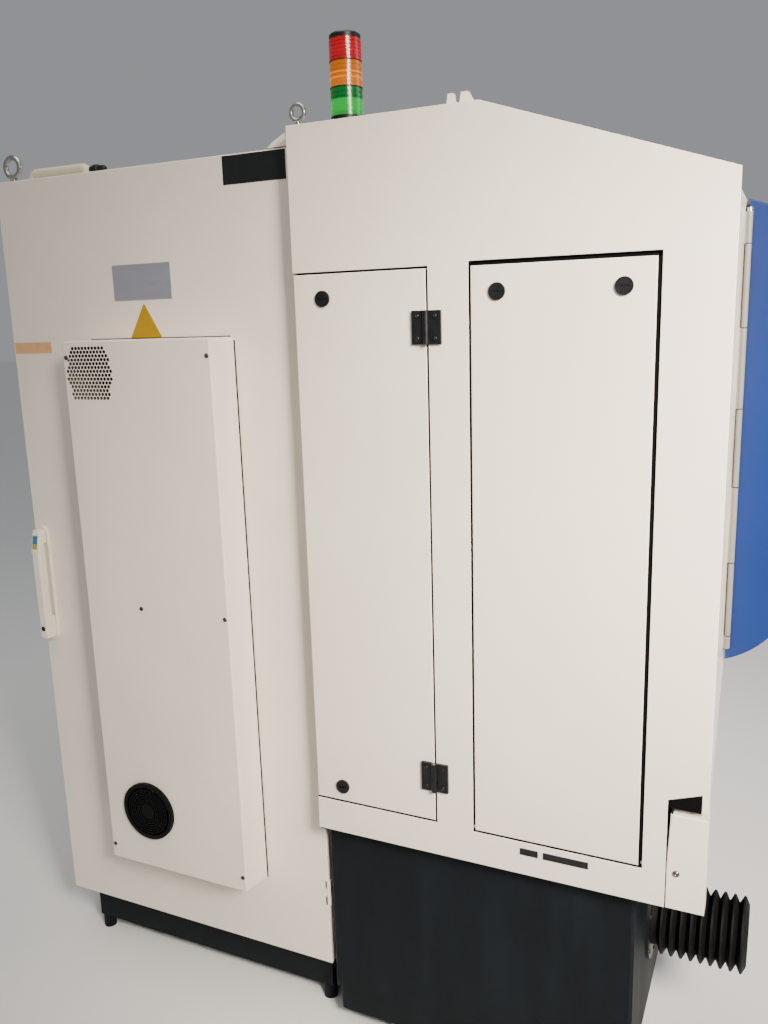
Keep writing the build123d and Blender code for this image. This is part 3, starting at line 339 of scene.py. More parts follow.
even = [(0.0, 0.6), (0.4, 1.0), (1.0, 0.7)]
lower_ring = [(0.3, 0.35), (0.34, 1.0), (0.4, 0.35)]
upper_ring = [(0.5, 0.3), (0.54, 1.0), (0.6, 0.25)]
two_rings = [(0.0, 0.4), *lower_ring, *upper_ring, (1.0, 0.3)]
low_band = [(0.0, 0.6), (0.15, 0.8), (0.2, 1.0), (0.55, 1.0), (0.62, 0.15), (1.0, 0.2)]
lens_red = lens_plastic("red_lens_plastic", "#96060F", "#F02030", 0.25, "red_lens", even)
lens_amber = lens_plastic(
    "amber_lens_plastic", "#A04A00", "#FFA000", 0.8, "amber_lens", two_rings
)
lens_green = lens_plastic(
    "green_lens_plastic", "#045022", "#00D840", 0.6, "green_lens", low_band
)
print("clear", window_clear.name, lens_red.name, lens_amber.name, lens_green.name)

# %% [markdown]
# ## Finishes by slot
# The record names one material slot for each node. One table from slot to finish dresses the
# whole frame, so no node is forgotten. Three nodes have a finish of their own within their slot:
# the smooth front frame, and the fan's guard and frame, whose black is deeper.

# %% Dress the CAD nodes
slot_finish = {
    "enclosure_paint": cabin_white,
    "base_paint": base_charcoal_and_shade,
    "door_blue": door_blue,
    "hinge_grey": hinge_grey,
    "black_plastic": black_nylon,
    "bellows_rubber": bellows_rubber,
    "bright_steel": zinc_steel,
    "zinc_plate": galvanised,
    "machine_grey": casting_grey,
    "ground_steel": ground_steel,
    "window_glass": window_clear,
    "screen_black": screen_black,
    "panel_grey": panel_grey,
    "lens_green": lens_green,
    "lens_amber": lens_amber,
    "lens_red": lens_red,
    "conduit_beige": conduit_beige,
    "grit_wheel": abrasive,
    "stop_red": stop_red,
    "start_green": start_green,
}
own_finish = {"front_frame": smooth_white, "fan_guard": fan_black, "fan_frame": fan_black}
bodies = frame["record"]["behaviour"]["bodies"]
body_of = {node: body for body, nodes in bodies.items() for node in nodes}
slot_of = {entry["node"]: entry["material_slot"] for entry in frame["record"]["subparts"]}
for name, node in frame["nodes"].items():
    node.data.materials.clear()
    node.data.materials.append(own_finish.get(name, slot_finish[slot_of[name]]))
print("dressed", len(frame["nodes"]), "nodes with", len(slot_finish), "finishes")

# %% [markdown]
# ## Making and seating pieces
# Every added piece is a mesh whose object stays at the origin. It rides on a CAD body, so it moves
# with the right door. Pieces that touch stay a hair apart, so that no two faces share a plane.

# %% Helpers for pieces
hair = 0.05


def settle(name, mesh_bm, material, body):
    """Turns a bmesh into a piece that rides on a body."""
    bmesh.ops.remove_doubles(mesh_bm, verts=mesh_bm.verts, dist=0.000002)
    bmesh.ops.recalc_face_normals(mesh_bm, faces=mesh_bm.faces)
    mesh = bpy.data.meshes.new(name)
    mesh_bm.to_mesh(mesh)
    mesh_bm.free()
    mesh.materials.append(material)
    piece = bpy.data.objects.new(name, mesh)
    bpy.context.scene.collection.objects.link(piece)
    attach(piece, body)


def add_block(mesh_bm, low, high, edge=0.0):
    """A box between two places in millimetres, its edges rounded by a real radius."""
    near, far = place(*low), place(*high)
    made = bmesh.ops.create_cube(mesh_bm, size=1.0)["verts"]
    bmesh.ops.scale(mesh_bm, vec=far - near, verts=made)
    bmesh.ops.translate(mesh_bm, vec=(near + far) / 2, verts=made)
    if edge:
        edges = list({e for v in made for e in v.link_edges})
        rounding = {"offset": edge * MM, "segments": 2, "affect": "EDGES", "profile": 0.6}
        bmesh.ops.bevel(mesh_bm, geom=edges, **rounding)


def add_slab(mesh_bm, corners, push):
    """A flat slab: a polygon of places, and the same polygon pushed by millimetres."""
    front = [mesh_bm.verts.new(place(*corner)) for corner in corners]
    back = [mesh_bm.verts.new(vert.co + Vector(push) * MM) for vert in front]
    mesh_bm.faces.new(front)
    mesh_bm.faces.new(list(reversed(back)))
    for i in range(len(front)):
        after = (i + 1) % len(front)
        mesh_bm.faces.new([front[i], back[i], back[after], front[after]])


def add_turned(mesh_bm, profile, centre, along, steps):
    """A turned piece: (radius, distance) points spun round an axis through a place."""
    axis = Vector(along).normalized()
    side = axis.orthogonal().normalized()
    origin = place(*centre)
    rings = []
    for radius, distance in profile:
        if radius == 0:
            rings.append([mesh_bm.verts.new(origin + axis * distance * MM)])
            continue
        ring = []
        for step in range(steps):
            turned = Matrix.Rotation(math.tau * step / steps, 3, axis) @ side
            ring.append(mesh_bm.verts.new(origin + axis * distance * MM + turned * radius * MM))
        rings.append(ring)
    for lower, upper in zip(rings[:-1], rings[1:]):
        for step in range(steps):
            nearby = (step + 1) % steps
            corners = [lower[step % len(lower)], lower[nearby % len(lower)]]
            corners += [upper[nearby % len(upper)], upper[step % len(upper)]]
            corners = list(dict.fromkeys(corners))
            if len(corners) > 2:
                mesh_bm.faces.new(corners)


def square_section(inner, outer, foot, top):
    """The profile of a ring with a square section, for add_turned."""
    return [(inner, foot), (outer, foot), (outer, top), (inner, top), (inner, foot)]


print("helpers for pieces ready")

# %% [markdown]
# ## Folded edges
# A brake press leaves a radius of a few millimetres on every fold, and that radius is what catches
# the light round a sheet-metal door. The CAD keeps the folds sharp, so a copy of each sheet gets a
# bevel on the edges of its outer face. Only those edges are weighted: the cut edges stay sharp. The
# cooling cover is drawn deeper, so the corners between its sides have a wider radius of their own.

# %% What two of the sheets need


def darken_punched_edges(mesh):
    """Paints the walls of the vent's small holes black: painted shade for the shade inside them."""
    mesh.materials.append(black_nylon)
    low, high = place(-36.9, 1205, 1440), place(-35.1, 1348, 1578)
    for polygon in mesh.polygons:
        middle = polygon.center
        in_vent = all(low[axis] < middle[axis] < high[axis] for axis in range(3))
        if in_vent and abs(polygon.normal.x) < 0.1:
            polygon.material_index = 1


def narrow_slot(shape):
    """Brings the corner cover's slanted edge 4 mm nearer to the side panel at its top."""
    slant_front, slant_foot = place(0, 55, 0).y, place(0, 0, 700).z
    for vert in shape.verts:
        if vert.co.y > slant_front and vert.co.z > slant_foot:
            vert.co.y += 4 * MM


print("vent walls and slanted edge ready")

# %% Round the folds
fold_angle, shortest_fold, same_plane = math.radians(25), 0.02, 0.0001


def lies_on(edge, axis, level):
    """Whether both ends of an edge lie on a plane across an axis."""
    return all(abs(vert.co[axis] - level) < same_plane for vert in edge.verts)


def rounded_copy(node, radius_mm, outer_faces, corner_mm=0.0):
    """A copy of a CAD node with a fold radius round its outer faces, and one on its corners."""
    shape = bmesh.new()
    shape.from_mesh(frame["nodes"][node].data)
    bmesh.ops.remove_doubles(shape, verts=shape.verts, dist=0.00002)
    nearly_flat = math.radians(0.5)
    bmesh.ops.dissolve_limit(
        shape, angle_limit=nearly_flat, verts=shape.verts, edges=shape.edges
    )
    if node == "corner_cover":
        narrow_slot(shape)
    low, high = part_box(node)
    widest = max(radius_mm, corner_mm)
    weight = shape.edges.layers.float.new("bevel_weight_edge")
    for edge in shape.edges:
        if len(edge.link_faces) != 2 or edge.calc_face_angle(0) <= fold_angle:
            continue
        on_flank = lies_on(edge, 1, low.y) or lies_on(edge, 1, high.y)
        depth = abs(edge.verts[0].co.x - edge.verts[1].co.x)
        if any(lies_on(edge, 0, x) for x in outer_faces) and edge.calc_length() > shortest_fold:
            edge[weight] = radius_mm / widest
        elif on_flank and depth > shortest_fold:
            edge[weight] = corner_mm / widest
    mesh = bpy.data.meshes.new(node + "_folded")
    shape.to_mesh(mesh)
    shape.free()
    mesh.materials.append(slot_finish[slot_of[node]])
    if node == "cooling_cover":
        darken_punched_edges(mesh)
    piece = bpy.data.objects.new(node + "_folded", mesh)
    bpy.context.scene.collection.objects.link(piece)
    bevel = piece.modifiers.new("fold_radius", "BEVEL")
    bevel.limit_method = "WEIGHT"
    bevel.width = widest * MM
    bevel.segments = 3
    bevel.use_clamp_overlap = False
    bevel.harden_normals = True
    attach(piece, body_of[node])
    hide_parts(node)


folded = {
    "side_panel": (1.2, [side_face]),
    "corner_cover": (2.5, [side_face]),
    "service_door": (2.5, [side_face]),
    "access_panel": (2.5, [side_face]),
    "cabinet_door": (2.5, [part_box("cabinet_shell")[0].x - MM]),
    "cooling_cover": (3.5, [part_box("cooling_cover")[0].x], 9.0),
    "front_door": (3.0, [corner.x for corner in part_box("front_door")]),
}
for node, measures in folded.items():
    rounded_copy(node, *measures)
print("folds rounded on", len(folded), "sheets")

# %% [markdown]
# ## Rubber seals, and black for the shade in the gaps
# Foam rubber is glued round each opening as a ring on the lip that the door closes on. Thin black
# strips down the walls of the gaps stand for the shade inside them, so the gaps read as black
# lines: painted shade. The thick black edge on the wide panel's front and top, where the line is
# widest, and a thin black strip on the service door's front edge and top are painted shade too, as
# is a black slab in the corner notch. Strips and plates lie on their sheet with a thin film of
# glue.

# %% Openings
service_low, service_high = reach("service_door")
access_low, access_high = reach("access_panel")
seam, panel_front, panel_rear = 3.5, 118, 434
service_hole = (
    service_low.y - seam,
    service_low.z - seam,
    service_high.y + 1,
    service_high.z + seam,
)
access_hole = (panel_front - 7, access_low.z - seam, panel_rear + seam, access_high.z + 8)


def add_ring(mesh_bm, near, far, hole, width):
    """A rectangular ring between two planes, inside a hole given by its (y, z) corners."""
    y0, z0, y1, z1 = hole
    add_block(mesh_bm, (near, y0, z0), (far, y0 + width, z1))
    add_block(mesh_bm, (near, y1 - width, z0), (far, y1, z1))
    add_block(mesh_bm, (near, y0 + width, z0), (far, y1 - width, z0 + width))
    add_block(mesh_bm, (near, y0 + width, z1 - width), (far, y1 - width, z1))


print("service opening", [round(v) for v in service_hole], "panel", [round(v) for v in access_hole])

# %% Door seals and painted gap shade
ring_near, ring_far, ring_width = 20.2, 21.8, 14
wall_near, wall_far, strip, glue = 1, 20, 0.8, 0.02
# The ring on the lip is the seal. The strips down the gap walls are painted shade: black for the
# shade inside the gaps.
seals = bmesh.new()
for hole in (service_hole, access_hole):
    y0, z0, y1, z1 = hole
    inside = (y0 + 0.1, z0 + 0.1, y1 - 0.1, z1 - 0.1)
    add_ring(seals, ring_near, ring_far, inside, ring_width)
    add_block(seals, (wall_near, y0 + hair, z0 + glue), (wall_far, y1 - hair, z0 + strip))
    add_block(seals, (wall_near, y0 + hair, z1 - strip), (wall_far, y1 - hair, z1 - glue))
y0, z0, y1, z1 = access_hole
add_block(seals, (wall_near, y1 - strip, z0 + 1), (wall_far, y1 - glue, z1 - 1))
settle("door_seals_and_gap_shade", seals, seal_and_shade_foam, "machine")

# The thick edging on the wide panel is painted shade: black for the shade in its widest gap line.
edge_near, edge_far, edge_thick = 1.5, 19, 4.5
edge_shade_mesh = bmesh.new()
front_foot = (edge_near, panel_front - edge_thick, access_low.z + 1)
front_top = (edge_far, panel_front - hair, access_high.z)
add_block(edge_shade_mesh, front_foot, front_top, 0.6)
top_front = (edge_near, panel_front, access_high.z + hair)
top_rear = (edge_far, panel_rear, access_high.z + edge_thick)
add_block(edge_shade_mesh, top_front, top_rear, 0.6)
settle("panel_edge_painted_shade", edge_shade_mesh, seal_and_shade_foam, "access_panel")

# This strip on the service door's front edge and top is painted shade: black for the shade in its
# gap.
gap_shade_mesh = bmesh.new()
front_foot = (edge_near, service_low.y - 0.9, service_low.z + 1)
front_top = (edge_far, service_low.y - hair, service_high.z - 1)
add_block(gap_shade_mesh, front_foot, front_top)
top_front = (2.0, service_low.y + 3, service_high.z + hair)
top_rear = (edge_far, service_high.y - 3, service_high.z + 1.6)
add_block(gap_shade_mesh, top_front, top_rear)
settle("door_gap_painted_shade", gap_shade_mesh, seal_and_shade_foam, "service_door")

# This slab in the corner notch is painted shade: black for the shade inside the notch.
notch = bmesh.new()
notch_corners = [(1.2, 12.2, 732), (1.2, 12.2, 767.6), (1.2, 69.3, 748), (1.2, 69.3, 733)]
add_slab(notch, notch_corners, (0.7, 0, 0))
settle("notch_painted_shade", notch, seal_and_shade_foam, "machine")
print("seals on two doors and in the notch")

# %% [markdown]
# ## Gasket round the front door's window
# The pane is held in the blue shell by a black rubber profile: a flat lip lies on the paint, and a
# web fills the cut. Two rings inside each other give both.

# %% Window gasket
pane_low, pane_high = reach("door_window")
shell_face = reach("front_door")[0].y
pane_cover, lip_width, lip_height, lip_edge, web = 18, 7, 2.2, 0.8, 5


def add_frame(mesh_bm, near, far, hole, width):
    """A rectangular frame on the front face, outside a hole given by its (x, z) corners."""
    x0, z0, x1, z1 = hole
    add_block(mesh_bm, (x0 - width, near, z0 - width), (x0, far, z1 + width), lip_edge)
    add_block(mesh_bm, (x1, near, z0 - width), (x1 + width, far, z1 + width), lip_edge)
    add_block(mesh_bm, (x0, near, z0 - width), (x1, far, z0), lip_edge)
    add_block(mesh_bm, (x0, near, z1), (x1, far, z1 + width), lip_edge)


x0, z0 = pane_low.x + pane_cover, pane_low.z + pane_cover
x1, z1 = pane_high.x - pane_cover, pane_high.z - pane_cover
clear = (x0 + web, z0 + web, x1 - web, z1 - web)
window_gasket = bmesh.new()
add_frame(window_gasket, shell_face - lip_height, shell_face - hair, clear, web + lip_width)
add_frame(window_gasket, shell_face - 0.1, pane_low.y - hair, clear, web - 0.1)
settle("window_gasket", window_gasket, bellows_rubber, "front_door")
print("window gasket round a cut of", round(x1 - x0), "by", round(z1 - z0), "mm")

# %% [markdown]
# ## Collars on the long hinge
# The front door hangs on a hinge of many knuckles. Thin dark washers part them, and show as ticks
# down the pale hinge. The first joint is 24 mm above its foot, and the rest follow every 139 mm.

# %% Hinge collars
hinge_foot, hinge_head = [corner.z for corner in reach("frame_hinge_leaf")]
knuckle_inward, knuckle_rearward = reach("front_door")[0].x - 6, -6
first_joint, joint_pitch = 24, 139
collar = square_section(2.8, 5.8, -0.8, 0.8)
collars = bmesh.new()
joint_level = hinge_foot + first_joint
while joint_level < hinge_head:
    joint = (knuckle_inward, knuckle_rearward, joint_level)
    add_turned(collars, collar, joint, (0, 0, 1), steps=24)
    joint_level += joint_pitch
settle("hinge_collars", collars, black_nylon, "machine")
print("collars between the knuckles")

# %% [markdown]
# ## Black strip round the cooling cover's foot
# The cover sits against the cabinet door. A black foam strip stands a little proud round its foot
# and shows as a dark line down the cover's side: painted shade for the shadow gap where cover and
# door meet. It stops short of the round corners.

# %% Cover shadow strip
door_face, shadow_strip_thick = 50, 3
cover_low, cover_high = reach("cooling_cover")
proud, foot_gap, curve = 1.8, 0.8, 7
# This strip is painted shade, for the shadow gap round the cover's foot.
gasket = bmesh.new()
near_x, far_x = door_face - shadow_strip_thick, door_face - hair
near_y, far_y, low_z, high_z = cover_low.y, cover_high.y, cover_low.z, cover_high.z
for y0, y1 in ((near_y - proud, near_y - hair), (far_y + hair, far_y + proud)):
    add_block(gasket, (near_x, y0, low_z + curve), (far_x, y1, high_z - curve), 0.5)
for z0, z1 in ((low_z - proud, low_z - foot_gap), (high_z + hair, high_z + proud)):
    add_block(gasket, (near_x, near_y + curve, z0), (far_x, far_y - curve, z1), 0.3)
settle("cover_shadow_strip", gasket, seal_and_shade_foam, "cabinet_door")
print("gasket round the cover, proud by", proud, "mm")

# %% [markdown]
# ## Dark block behind the vent
# A black foam block behind the vent darkens its holes: painted shade for the dark inside of the
# cover.
# Its colour runs from dark at the front and top to pale toward the rear and low down, on a
# diagonal.

# %% Vent shade block
vent_block_finish, tree, shader = finish("vent_block_painted_shade", "#141414", 0.9)
rearward_down, dark_end, pale_end = (0, 1, -1), -0.95, -0.84
coordinates = add_node(tree, "ShaderNodeTexCoord").outputs["Object"]
dot = {"operation": "DOT_PRODUCT"}
diagonal = add_node(tree, "ShaderNodeVectorMath", dot, i0=coordinates, i1=rearward_down)
ends = {"i1": dark_end, "i2": pale_end, "i3": 0.0, "i4": 1.0}
tone_field = add_node(tree, "ShaderNodeMapRange", Value=diagonal.outputs["Value"], **ends)
work_on(shader, tree, tone_field.outputs["Result"], colours=(0.0, 1.0, "#0C0C0C", "#8C877A"))
work_on(shader, tree, pattern(tree, 2.5, 1), depth_mm=0.6)
# The block stands behind the vent as painted shade for the cover's dark inside.
foam = bmesh.new()
block_low, block_high = (-33, 1212, 1446), (-27, 1346, 1576)
add_block(foam, block_low, block_high, 1)
settle("vent_shade_block", foam, vent_block_finish, "cabinet_door")
print("filter behind the vent")

# %% [markdown]
# ## Screw heads
# Small pan-head screws hold the block hinges, the corner cover, the drain flange and the cooling
# cover. They are the same piece at many places, so Geometry Nodes put one head on each face of a
# carrier mesh: a tiny face marks where a screw sits and which way it looks. The head is a flat
# ball, half of it sunk in the sheet, with a six-sided recess. Its sizes are the named inputs.

# %% Screw tree


def screw_tree(material):
    """A tree that puts a screw head on every face, looking along the face's normal."""
    tree = bpy.data.node_groups.new("screw_heads", "GeometryNodeTree")
    interface = tree.interface
    interface.new_socket("Geometry", in_out="INPUT", socket_type="NodeSocketGeometry")
    interface.new_socket("Geometry", in_out="OUTPUT", socket_type="NodeSocketGeometry")
    for label in ("head_radius", "head_height", "recess_radius"):
        interface.new_socket(label, in_out="INPUT", socket_type="NodeSocketFloat")
    given = add_node(tree, "NodeGroupInput").outputs
    radius, height, recess = [given[n] for n in ("head_radius", "head_height", "recess_radius")]
    ball = add_node(tree, "GeometryNodeMeshUVSphere", Segments=24, Rings=12, Radius=1.0)
    size = add_node(tree, "ShaderNodeCombineXYZ", X=radius, Y=radius, Z=height)
    dome = add_node(
        tree,
        "GeometryNodeTransform",
        Geometry=ball.outputs["Mesh"],
        Scale=size.outputs["Vector"],
    )
    hexagon = add_node(
        tree, "GeometryNodeMeshCylinder", Radius=recess, Depth=height, Vertices=6
    )
    lift = add_node(tree, "ShaderNodeCombineXYZ", Z=height)
    raised = add_node(
        tree,
        "GeometryNodeTransform",
        Geometry=hexagon.outputs["Mesh"],
        Translation=lift.outputs["Vector"],
    )
    drilled = add_node(tree, "GeometryNodeMeshBoolean", {"operation": "DIFFERENCE"})
    tree.links.new(dome.outputs["Geometry"], drilled.inputs["Mesh 1"])
    tree.links.new(raised.outputs["Geometry"], drilled.inputs["Mesh 2"])
    smooth = add_node(
        tree, "GeometryNodeSetShadeSmooth", Geometry=drilled.outputs["Mesh"], Shade_Smooth=True
    )
    normal = add_node(tree, "GeometryNodeInputNormal").outputs["Normal"]
    kept = add_node(
        tree, "GeometryNodeCaptureAttribute", {"domain": "FACE"}, Geometry=given["Geometry"]
    )
    kept.capture_items.new("VECTOR", "facing")
    tree.links.new(normal, kept.inputs[1])
    points = add_node(
        tree, "GeometryNodeMeshToPoints", {"mode": "FACES"}, Mesh=kept.outputs["Geometry"]
    )
    turn = add_node(
        tree, "FunctionNodeAlignRotationToVector", {"axis": "Z"}, Vector=kept.outputs[1]
    )
    placed = add_node(
        tree,
        "GeometryNodeInstanceOnPoints",
        Points=points.outputs["Points"],
        Instance=smooth.outputs["Geometry"],
        Rotation=turn.outputs["Rotation"],
    )
    real = add_node(
        tree, "GeometryNodeRealizeInstances", Geometry=placed.outputs["Instances"]
    )
    painted = add_node(
        tree, "GeometryNodeSetMaterial", Geometry=real.outputs["Geometry"], Material=material
    )
    out = add_node(tree, "NodeGroupOutput")
    tree.links.new(painted.outputs["Geometry"], out.inputs["Geometry"])
    return tree


print("screw tree ready")

# %% [markdown]
# ## From tree to plain mesh
# A live Geometry Nodes modifier would be lost in the export. The tree is evaluated once on its
# carrier, the result is kept as a plain mesh, and the carrier is removed.

# %% Grow screws on a carrier


def grow(name, carrier_bm, tree, values, body):
    """Evaluates a tree on a carrier mesh and keeps the result as a plain piece."""
    mesh = bpy.data.meshes.new(name + "_places")
    carrier_bm.to_mesh(mesh)
    carrier_bm.free()
    carrier = bpy.data.objects.new(name + "_carrier", mesh)
    bpy.context.scene.collection.objects.link(carrier)
    live = carrier.modifiers.new("grow", "NODES")
    live.node_group = tree
    sockets = [item for item in tree.interface.items_tree if item.in_out == "INPUT"]
    identifiers = {socket.name: socket.identifier for socket in sockets}
    for label, value in values.items():
        live[identifiers[label]] = value
    evaluated = carrier.evaluated_get(bpy.context.evaluated_depsgraph_get())
    result = bpy.data.meshes.new_from_object(evaluated)
    carrier.modifiers.remove(live)
    bpy.data.objects.remove(carrier)
    result.name = name
    piece = bpy.data.objects.new(name, result)
    bpy.context.scene.collection.objects.link(piece)
    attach(piece, body)
    return piece


def screws(name, places, facing, head, tree, body):
    """Screw heads at places in millimetres; head is its radius, height and recess radius."""
    marks = bmesh.new()
    normal = Vector(facing).normalized()
    side = normal.orthogonal().normalized() * 0.2 * MM
    across = normal.cross(side)
    for spot in places:
        centre = place(*spot)
        corners = [centre + side, centre + across, centre - side, centre - across]
        marks.faces.new([marks.verts.new(corner) for corner in corners])
    labels = ("head_radius", "head_height", "recess_radius")
    values = {label: size * MM for label, size in zip(labels, head)}
    return grow(name, marks, tree, values, body)


print("screws can be placed")

# %% [markdown]
# ## Where the screws go
# Four on each block hinge, two a leaf. One on the corner cover. Six round the drain flange. The
# cooling cover's six are burnished and look nearly black, so domed heads take the place of the
# CAD's plain discs.

# %% Screws of the block hinges
black_screws, steel_screws, dark_screws = [
    screw_tree(material) for material in (black_nylon, nickel_steel, burnished_steel)
]
outward, forward = (-1, 0, 0), (0, -1, 0)
frame_leaf, door_leaf = reach("service_hinge_leaves"), reach("service_door_leaves")
leaf_face, leaf_margin, half_leaf, half_pitch = -6.5, 10.7, 30, 20
hinge_levels = [frame_leaf[0].z + half_leaf, frame_leaf[1].z - half_leaf]
levels = [height + step for height in hinge_levels for step in (-half_pitch, half_pitch)]
leaves = [
    ("hinge_screws_frame", frame_leaf[0].y + leaf_margin, "machine"),
    ("hinge_screws_door", door_leaf[1].y - leaf_margin, "service_door"),
]
leaf_head = (4.2, 2.0, 1.7)
for name, rearward, body in leaves:
    spots = [(leaf_face, rearward, level) for level in levels]
    screws(name, spots, outward, leaf_head, black_screws, body)
print("screws on two block hinges at", [round(level) for level in levels])

# %% Screws of the corner cover, the cooling cover and the drain flange
corner_head, cover_head, flange_head = (6.5, 4.5, 2.2), (5.0, 3.0, 2.4), (5.0, 4.0, 2.2)
corner_place = (0, 50.5, 605)
screws(
    "corner_screw",
    [corner_place],
    outward,
    corner_head,
    steel_screws,
    "machine",
)
cover_face = reach("cooling_cover")[0].x
cover_places = [(cover_face, y, z) for y in (974, 1339.5) for z in (382.5, 1544.5)]
cover_places += [(cover_face, 974, 994), (cover_face, 1195.5, 994)]
heads = screws(
    "cover_screw_heads",
    cover_places,
    outward,
    cover_head,
    dark_screws,
    "cabinet_door",
)
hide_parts("cover_screws")
flange_low, flange_high = reach("drain_flange")
flange_middle = (flange_low + flange_high) / 2
flange_screws, bolt_circle = 6, 85
flange_places = []
for step in range(flange_screws):
    turn = math.tau * (step + 0.5) / flange_screws
    inward = flange_middle.x + bolt_circle * math.cos(turn)
    flange_places.append((inward, flange_low.y, flange_middle.z + bolt_circle * math.sin(turn)))
# The drain flange's screws take this near-black steel too, darker than the corner cover's: painted
# shade for the deep shade round the drain.
screws(
    "flange_screws",
    flange_places,
    forward,
    flange_head,
    dark_screws,
    "machine",
)
print("screws on corner cover, cooling cover and drain flange")

# %% [markdown]
# ## Bare plates and fields of colour
# The doors carry a silver plate, a three-cornered yellow one, a black one near the cabinet's top,
# two black strips and a piece of beige tape. All are bare: material and edge, with nothing on them.
# Each is a thin sheet that stands about a millimetre proud or less, so its edge catches the light.

# %% Plate finishes
plate_black = moulded("black_anodised_label", "#141517", "#1A1B1D", 0.3, 6, 0.01)
plate_yellow = moulded("yellow_vinyl", "#A88500", "#9C7B00", 0.5, 8, 0.01)
tape_beige = moulded("aged_paper_tape", "#D9A679", "#C99566", 0.75, 3, 0.06)
handle_cream = moulded("cream_abs", "#E9E5C4", "#DDD8B4", 0.4, 3, 0.01)
handle_blue = moulded("blue_abs", "#3D7296", "#356684", 0.35, 3, 0.01)
handle_olive = moulded("olive_abs", "#A8A052", "#989048", 0.35, 3, 0.01)
print("plates", plate_black.name, plate_yellow.name, tape_beige.name)

# %% Plates on the doors
on_door, on_side = (door_face, "cabinet_door"), (0, "machine")


def flat_plate(name, corner, far_corner, thickness, material, where, slot, edge=0.3):
    """A thin plate on a face, between two (rearward, up) corners."""
    face, body = where
    plate = bmesh.new()
    add_block(plate, (face - thickness, *corner), (face - glue, *far_corner), edge)
    settle(name, plate, material, body)


silver = ((1113, 1661), (1267, 1736))
black = ((822, 1875), (967, 1929.5))
tape = ((1464, 1552), (1576, 1577))
short, long = ((306, 574), (342, 588)), ((209, 574), (296, 588))
flat_plate("silver_plate", *silver, 1.0, plate_alloy, on_door, "bright_steel")
flat_plate("black_plate", *black, 0.8, plate_black, on_door, "black_plastic")
flat_plate("beige_tape", *tape, 0.3, tape_beige, on_door, "conduit_beige", 0.1)
flat_plate("label_strip_short", *short, 1.2, plate_black, on_side, "black_plastic")
flat_plate("label_strip_long", *long, 1.2, plate_black, on_side, "black_plastic")
print("four plates and a strip of tape placed")

# %% The three-cornered plate
yellow_side, yellow_base, yellow_middle, yellow_thick = 80, 1582.5, 1189, 0.8
yellow_centre = yellow_base + yellow_side / (2 * math.sqrt(3))
tip_radius, tip_cut = yellow_side / math.sqrt(3), 0.03
yellow_corners = []
for corner in range(3):
    for turn in (-tip_cut, tip_cut):
        angle = math.pi / 2 + corner * math.tau / 3 + turn
        rearward = yellow_middle + tip_radius * math.cos(angle)
        up = yellow_centre + tip_radius * math.sin(angle)
        yellow_corners.append((door_face - yellow_thick, rearward, up))
yellow = bmesh.new()
add_slab(yellow, yellow_corners, (yellow_thick - glue, 0, 0))
settle("yellow_plate", yellow, plate_yellow, "cabinet_door")
print("yellow plate placed")

# %% [markdown]
# ## Insert and lock on the swing handle
# The handle's lever slopes back at its top, and that slope carries a cream insert with a blue and
# an olive field, kept bare. A black lock cylinder sits near the foot, over the spindle. All ride on
# the lever, so they turn with it.

# %% Handle details
lever_low, lever_high = reach("handle_lever")
lever_body = body_of["handle_lever"]
slope_foot, slope_top, slope_back = lever_high.z - 54, lever_high.z, 10
lever_middle = (lever_low.y + lever_high.y) / 2


def on_slope(rearward, up, proud):
    """A place on the lever's sloping top, from its height above the slope's foot."""
    share = (up - slope_foot) / (slope_top - slope_foot)
    return (lever_low.x + slope_back * share - proud, lever_middle + rearward, up)


def slope_plate(name, half_width, bottom, top, proud, material, slot):
    """A thin plate that lies on the slope between two heights."""
    sheet = bmesh.new()
    corners = [on_slope(-half_width, bottom, proud), on_slope(half_width, bottom, proud)]
    corners += [on_slope(half_width, top, proud), on_slope(-half_width, top, proud)]
    add_slab(sheet, corners, (0.5 + proud, 0, 0))
    settle(name, sheet, material, lever_body)


insert, olive = (slope_foot + 1, slope_top - 5), (slope_foot + 10, slope_foot + 22)
blue = (olive[1], slope_top - 12)
slope_plate("handle_insert", 9.5, *insert, 0.8, handle_cream, "conduit_beige")
slope_plate("handle_blue_field", 7.5, *blue, 1.3, handle_blue, "door_blue")
slope_plate("handle_olive_field", 7.5, *olive, 1.3, handle_olive, "lens_amber")
lock = bmesh.new()
lock_profile = [(0, 1.0), (5.0, 1.0), (6.2, 0.3), (6.2, -2.0), (0, -2.0)]
lock_place = (lever_low.x, lever_middle, 886)
add_turned(lock, lock_profile, lock_place, outward, steps=24)
settle("handle_lock", lock, black_nylon, lever_body)
print("insert and lock on the handle")

# %% [markdown]
# ## Rings between the stack light's tiers
# Each tier of the lamp locks on the one below with a short turn, and a thin black ring shows at the
# joint. A turned ring with a square section stands a fraction of a millimetre proud of the lenses.

# %% Rings between lenses
lamp_low, lamp_high = reach("green_lens")
lamp_middle = ((lamp_low.x + lamp_high.x) / 2, (lamp_low.y + lamp_high.y) / 2)
tier_ring = square_section(27.5, 30.4, -0.6, 0.8)
rings = bmesh.new()
for node in ("green_lens", "amber_lens", "red_lens"):
    add_turned(rings, tier_ring, (*lamp_middle, reach(node)[0].z), (0, 0, 1), steps=48)
settle("tier_rings", rings, black_nylon, "machine")
print("tier rings placed")

# %% [markdown]
# ## Cable gland on the cabinet roof
# In front of the beige conduit a black gland lies on the roof, pointing forward, and is plugged. It
# is a turned body: a neck, a wide clamping nut and a taper.

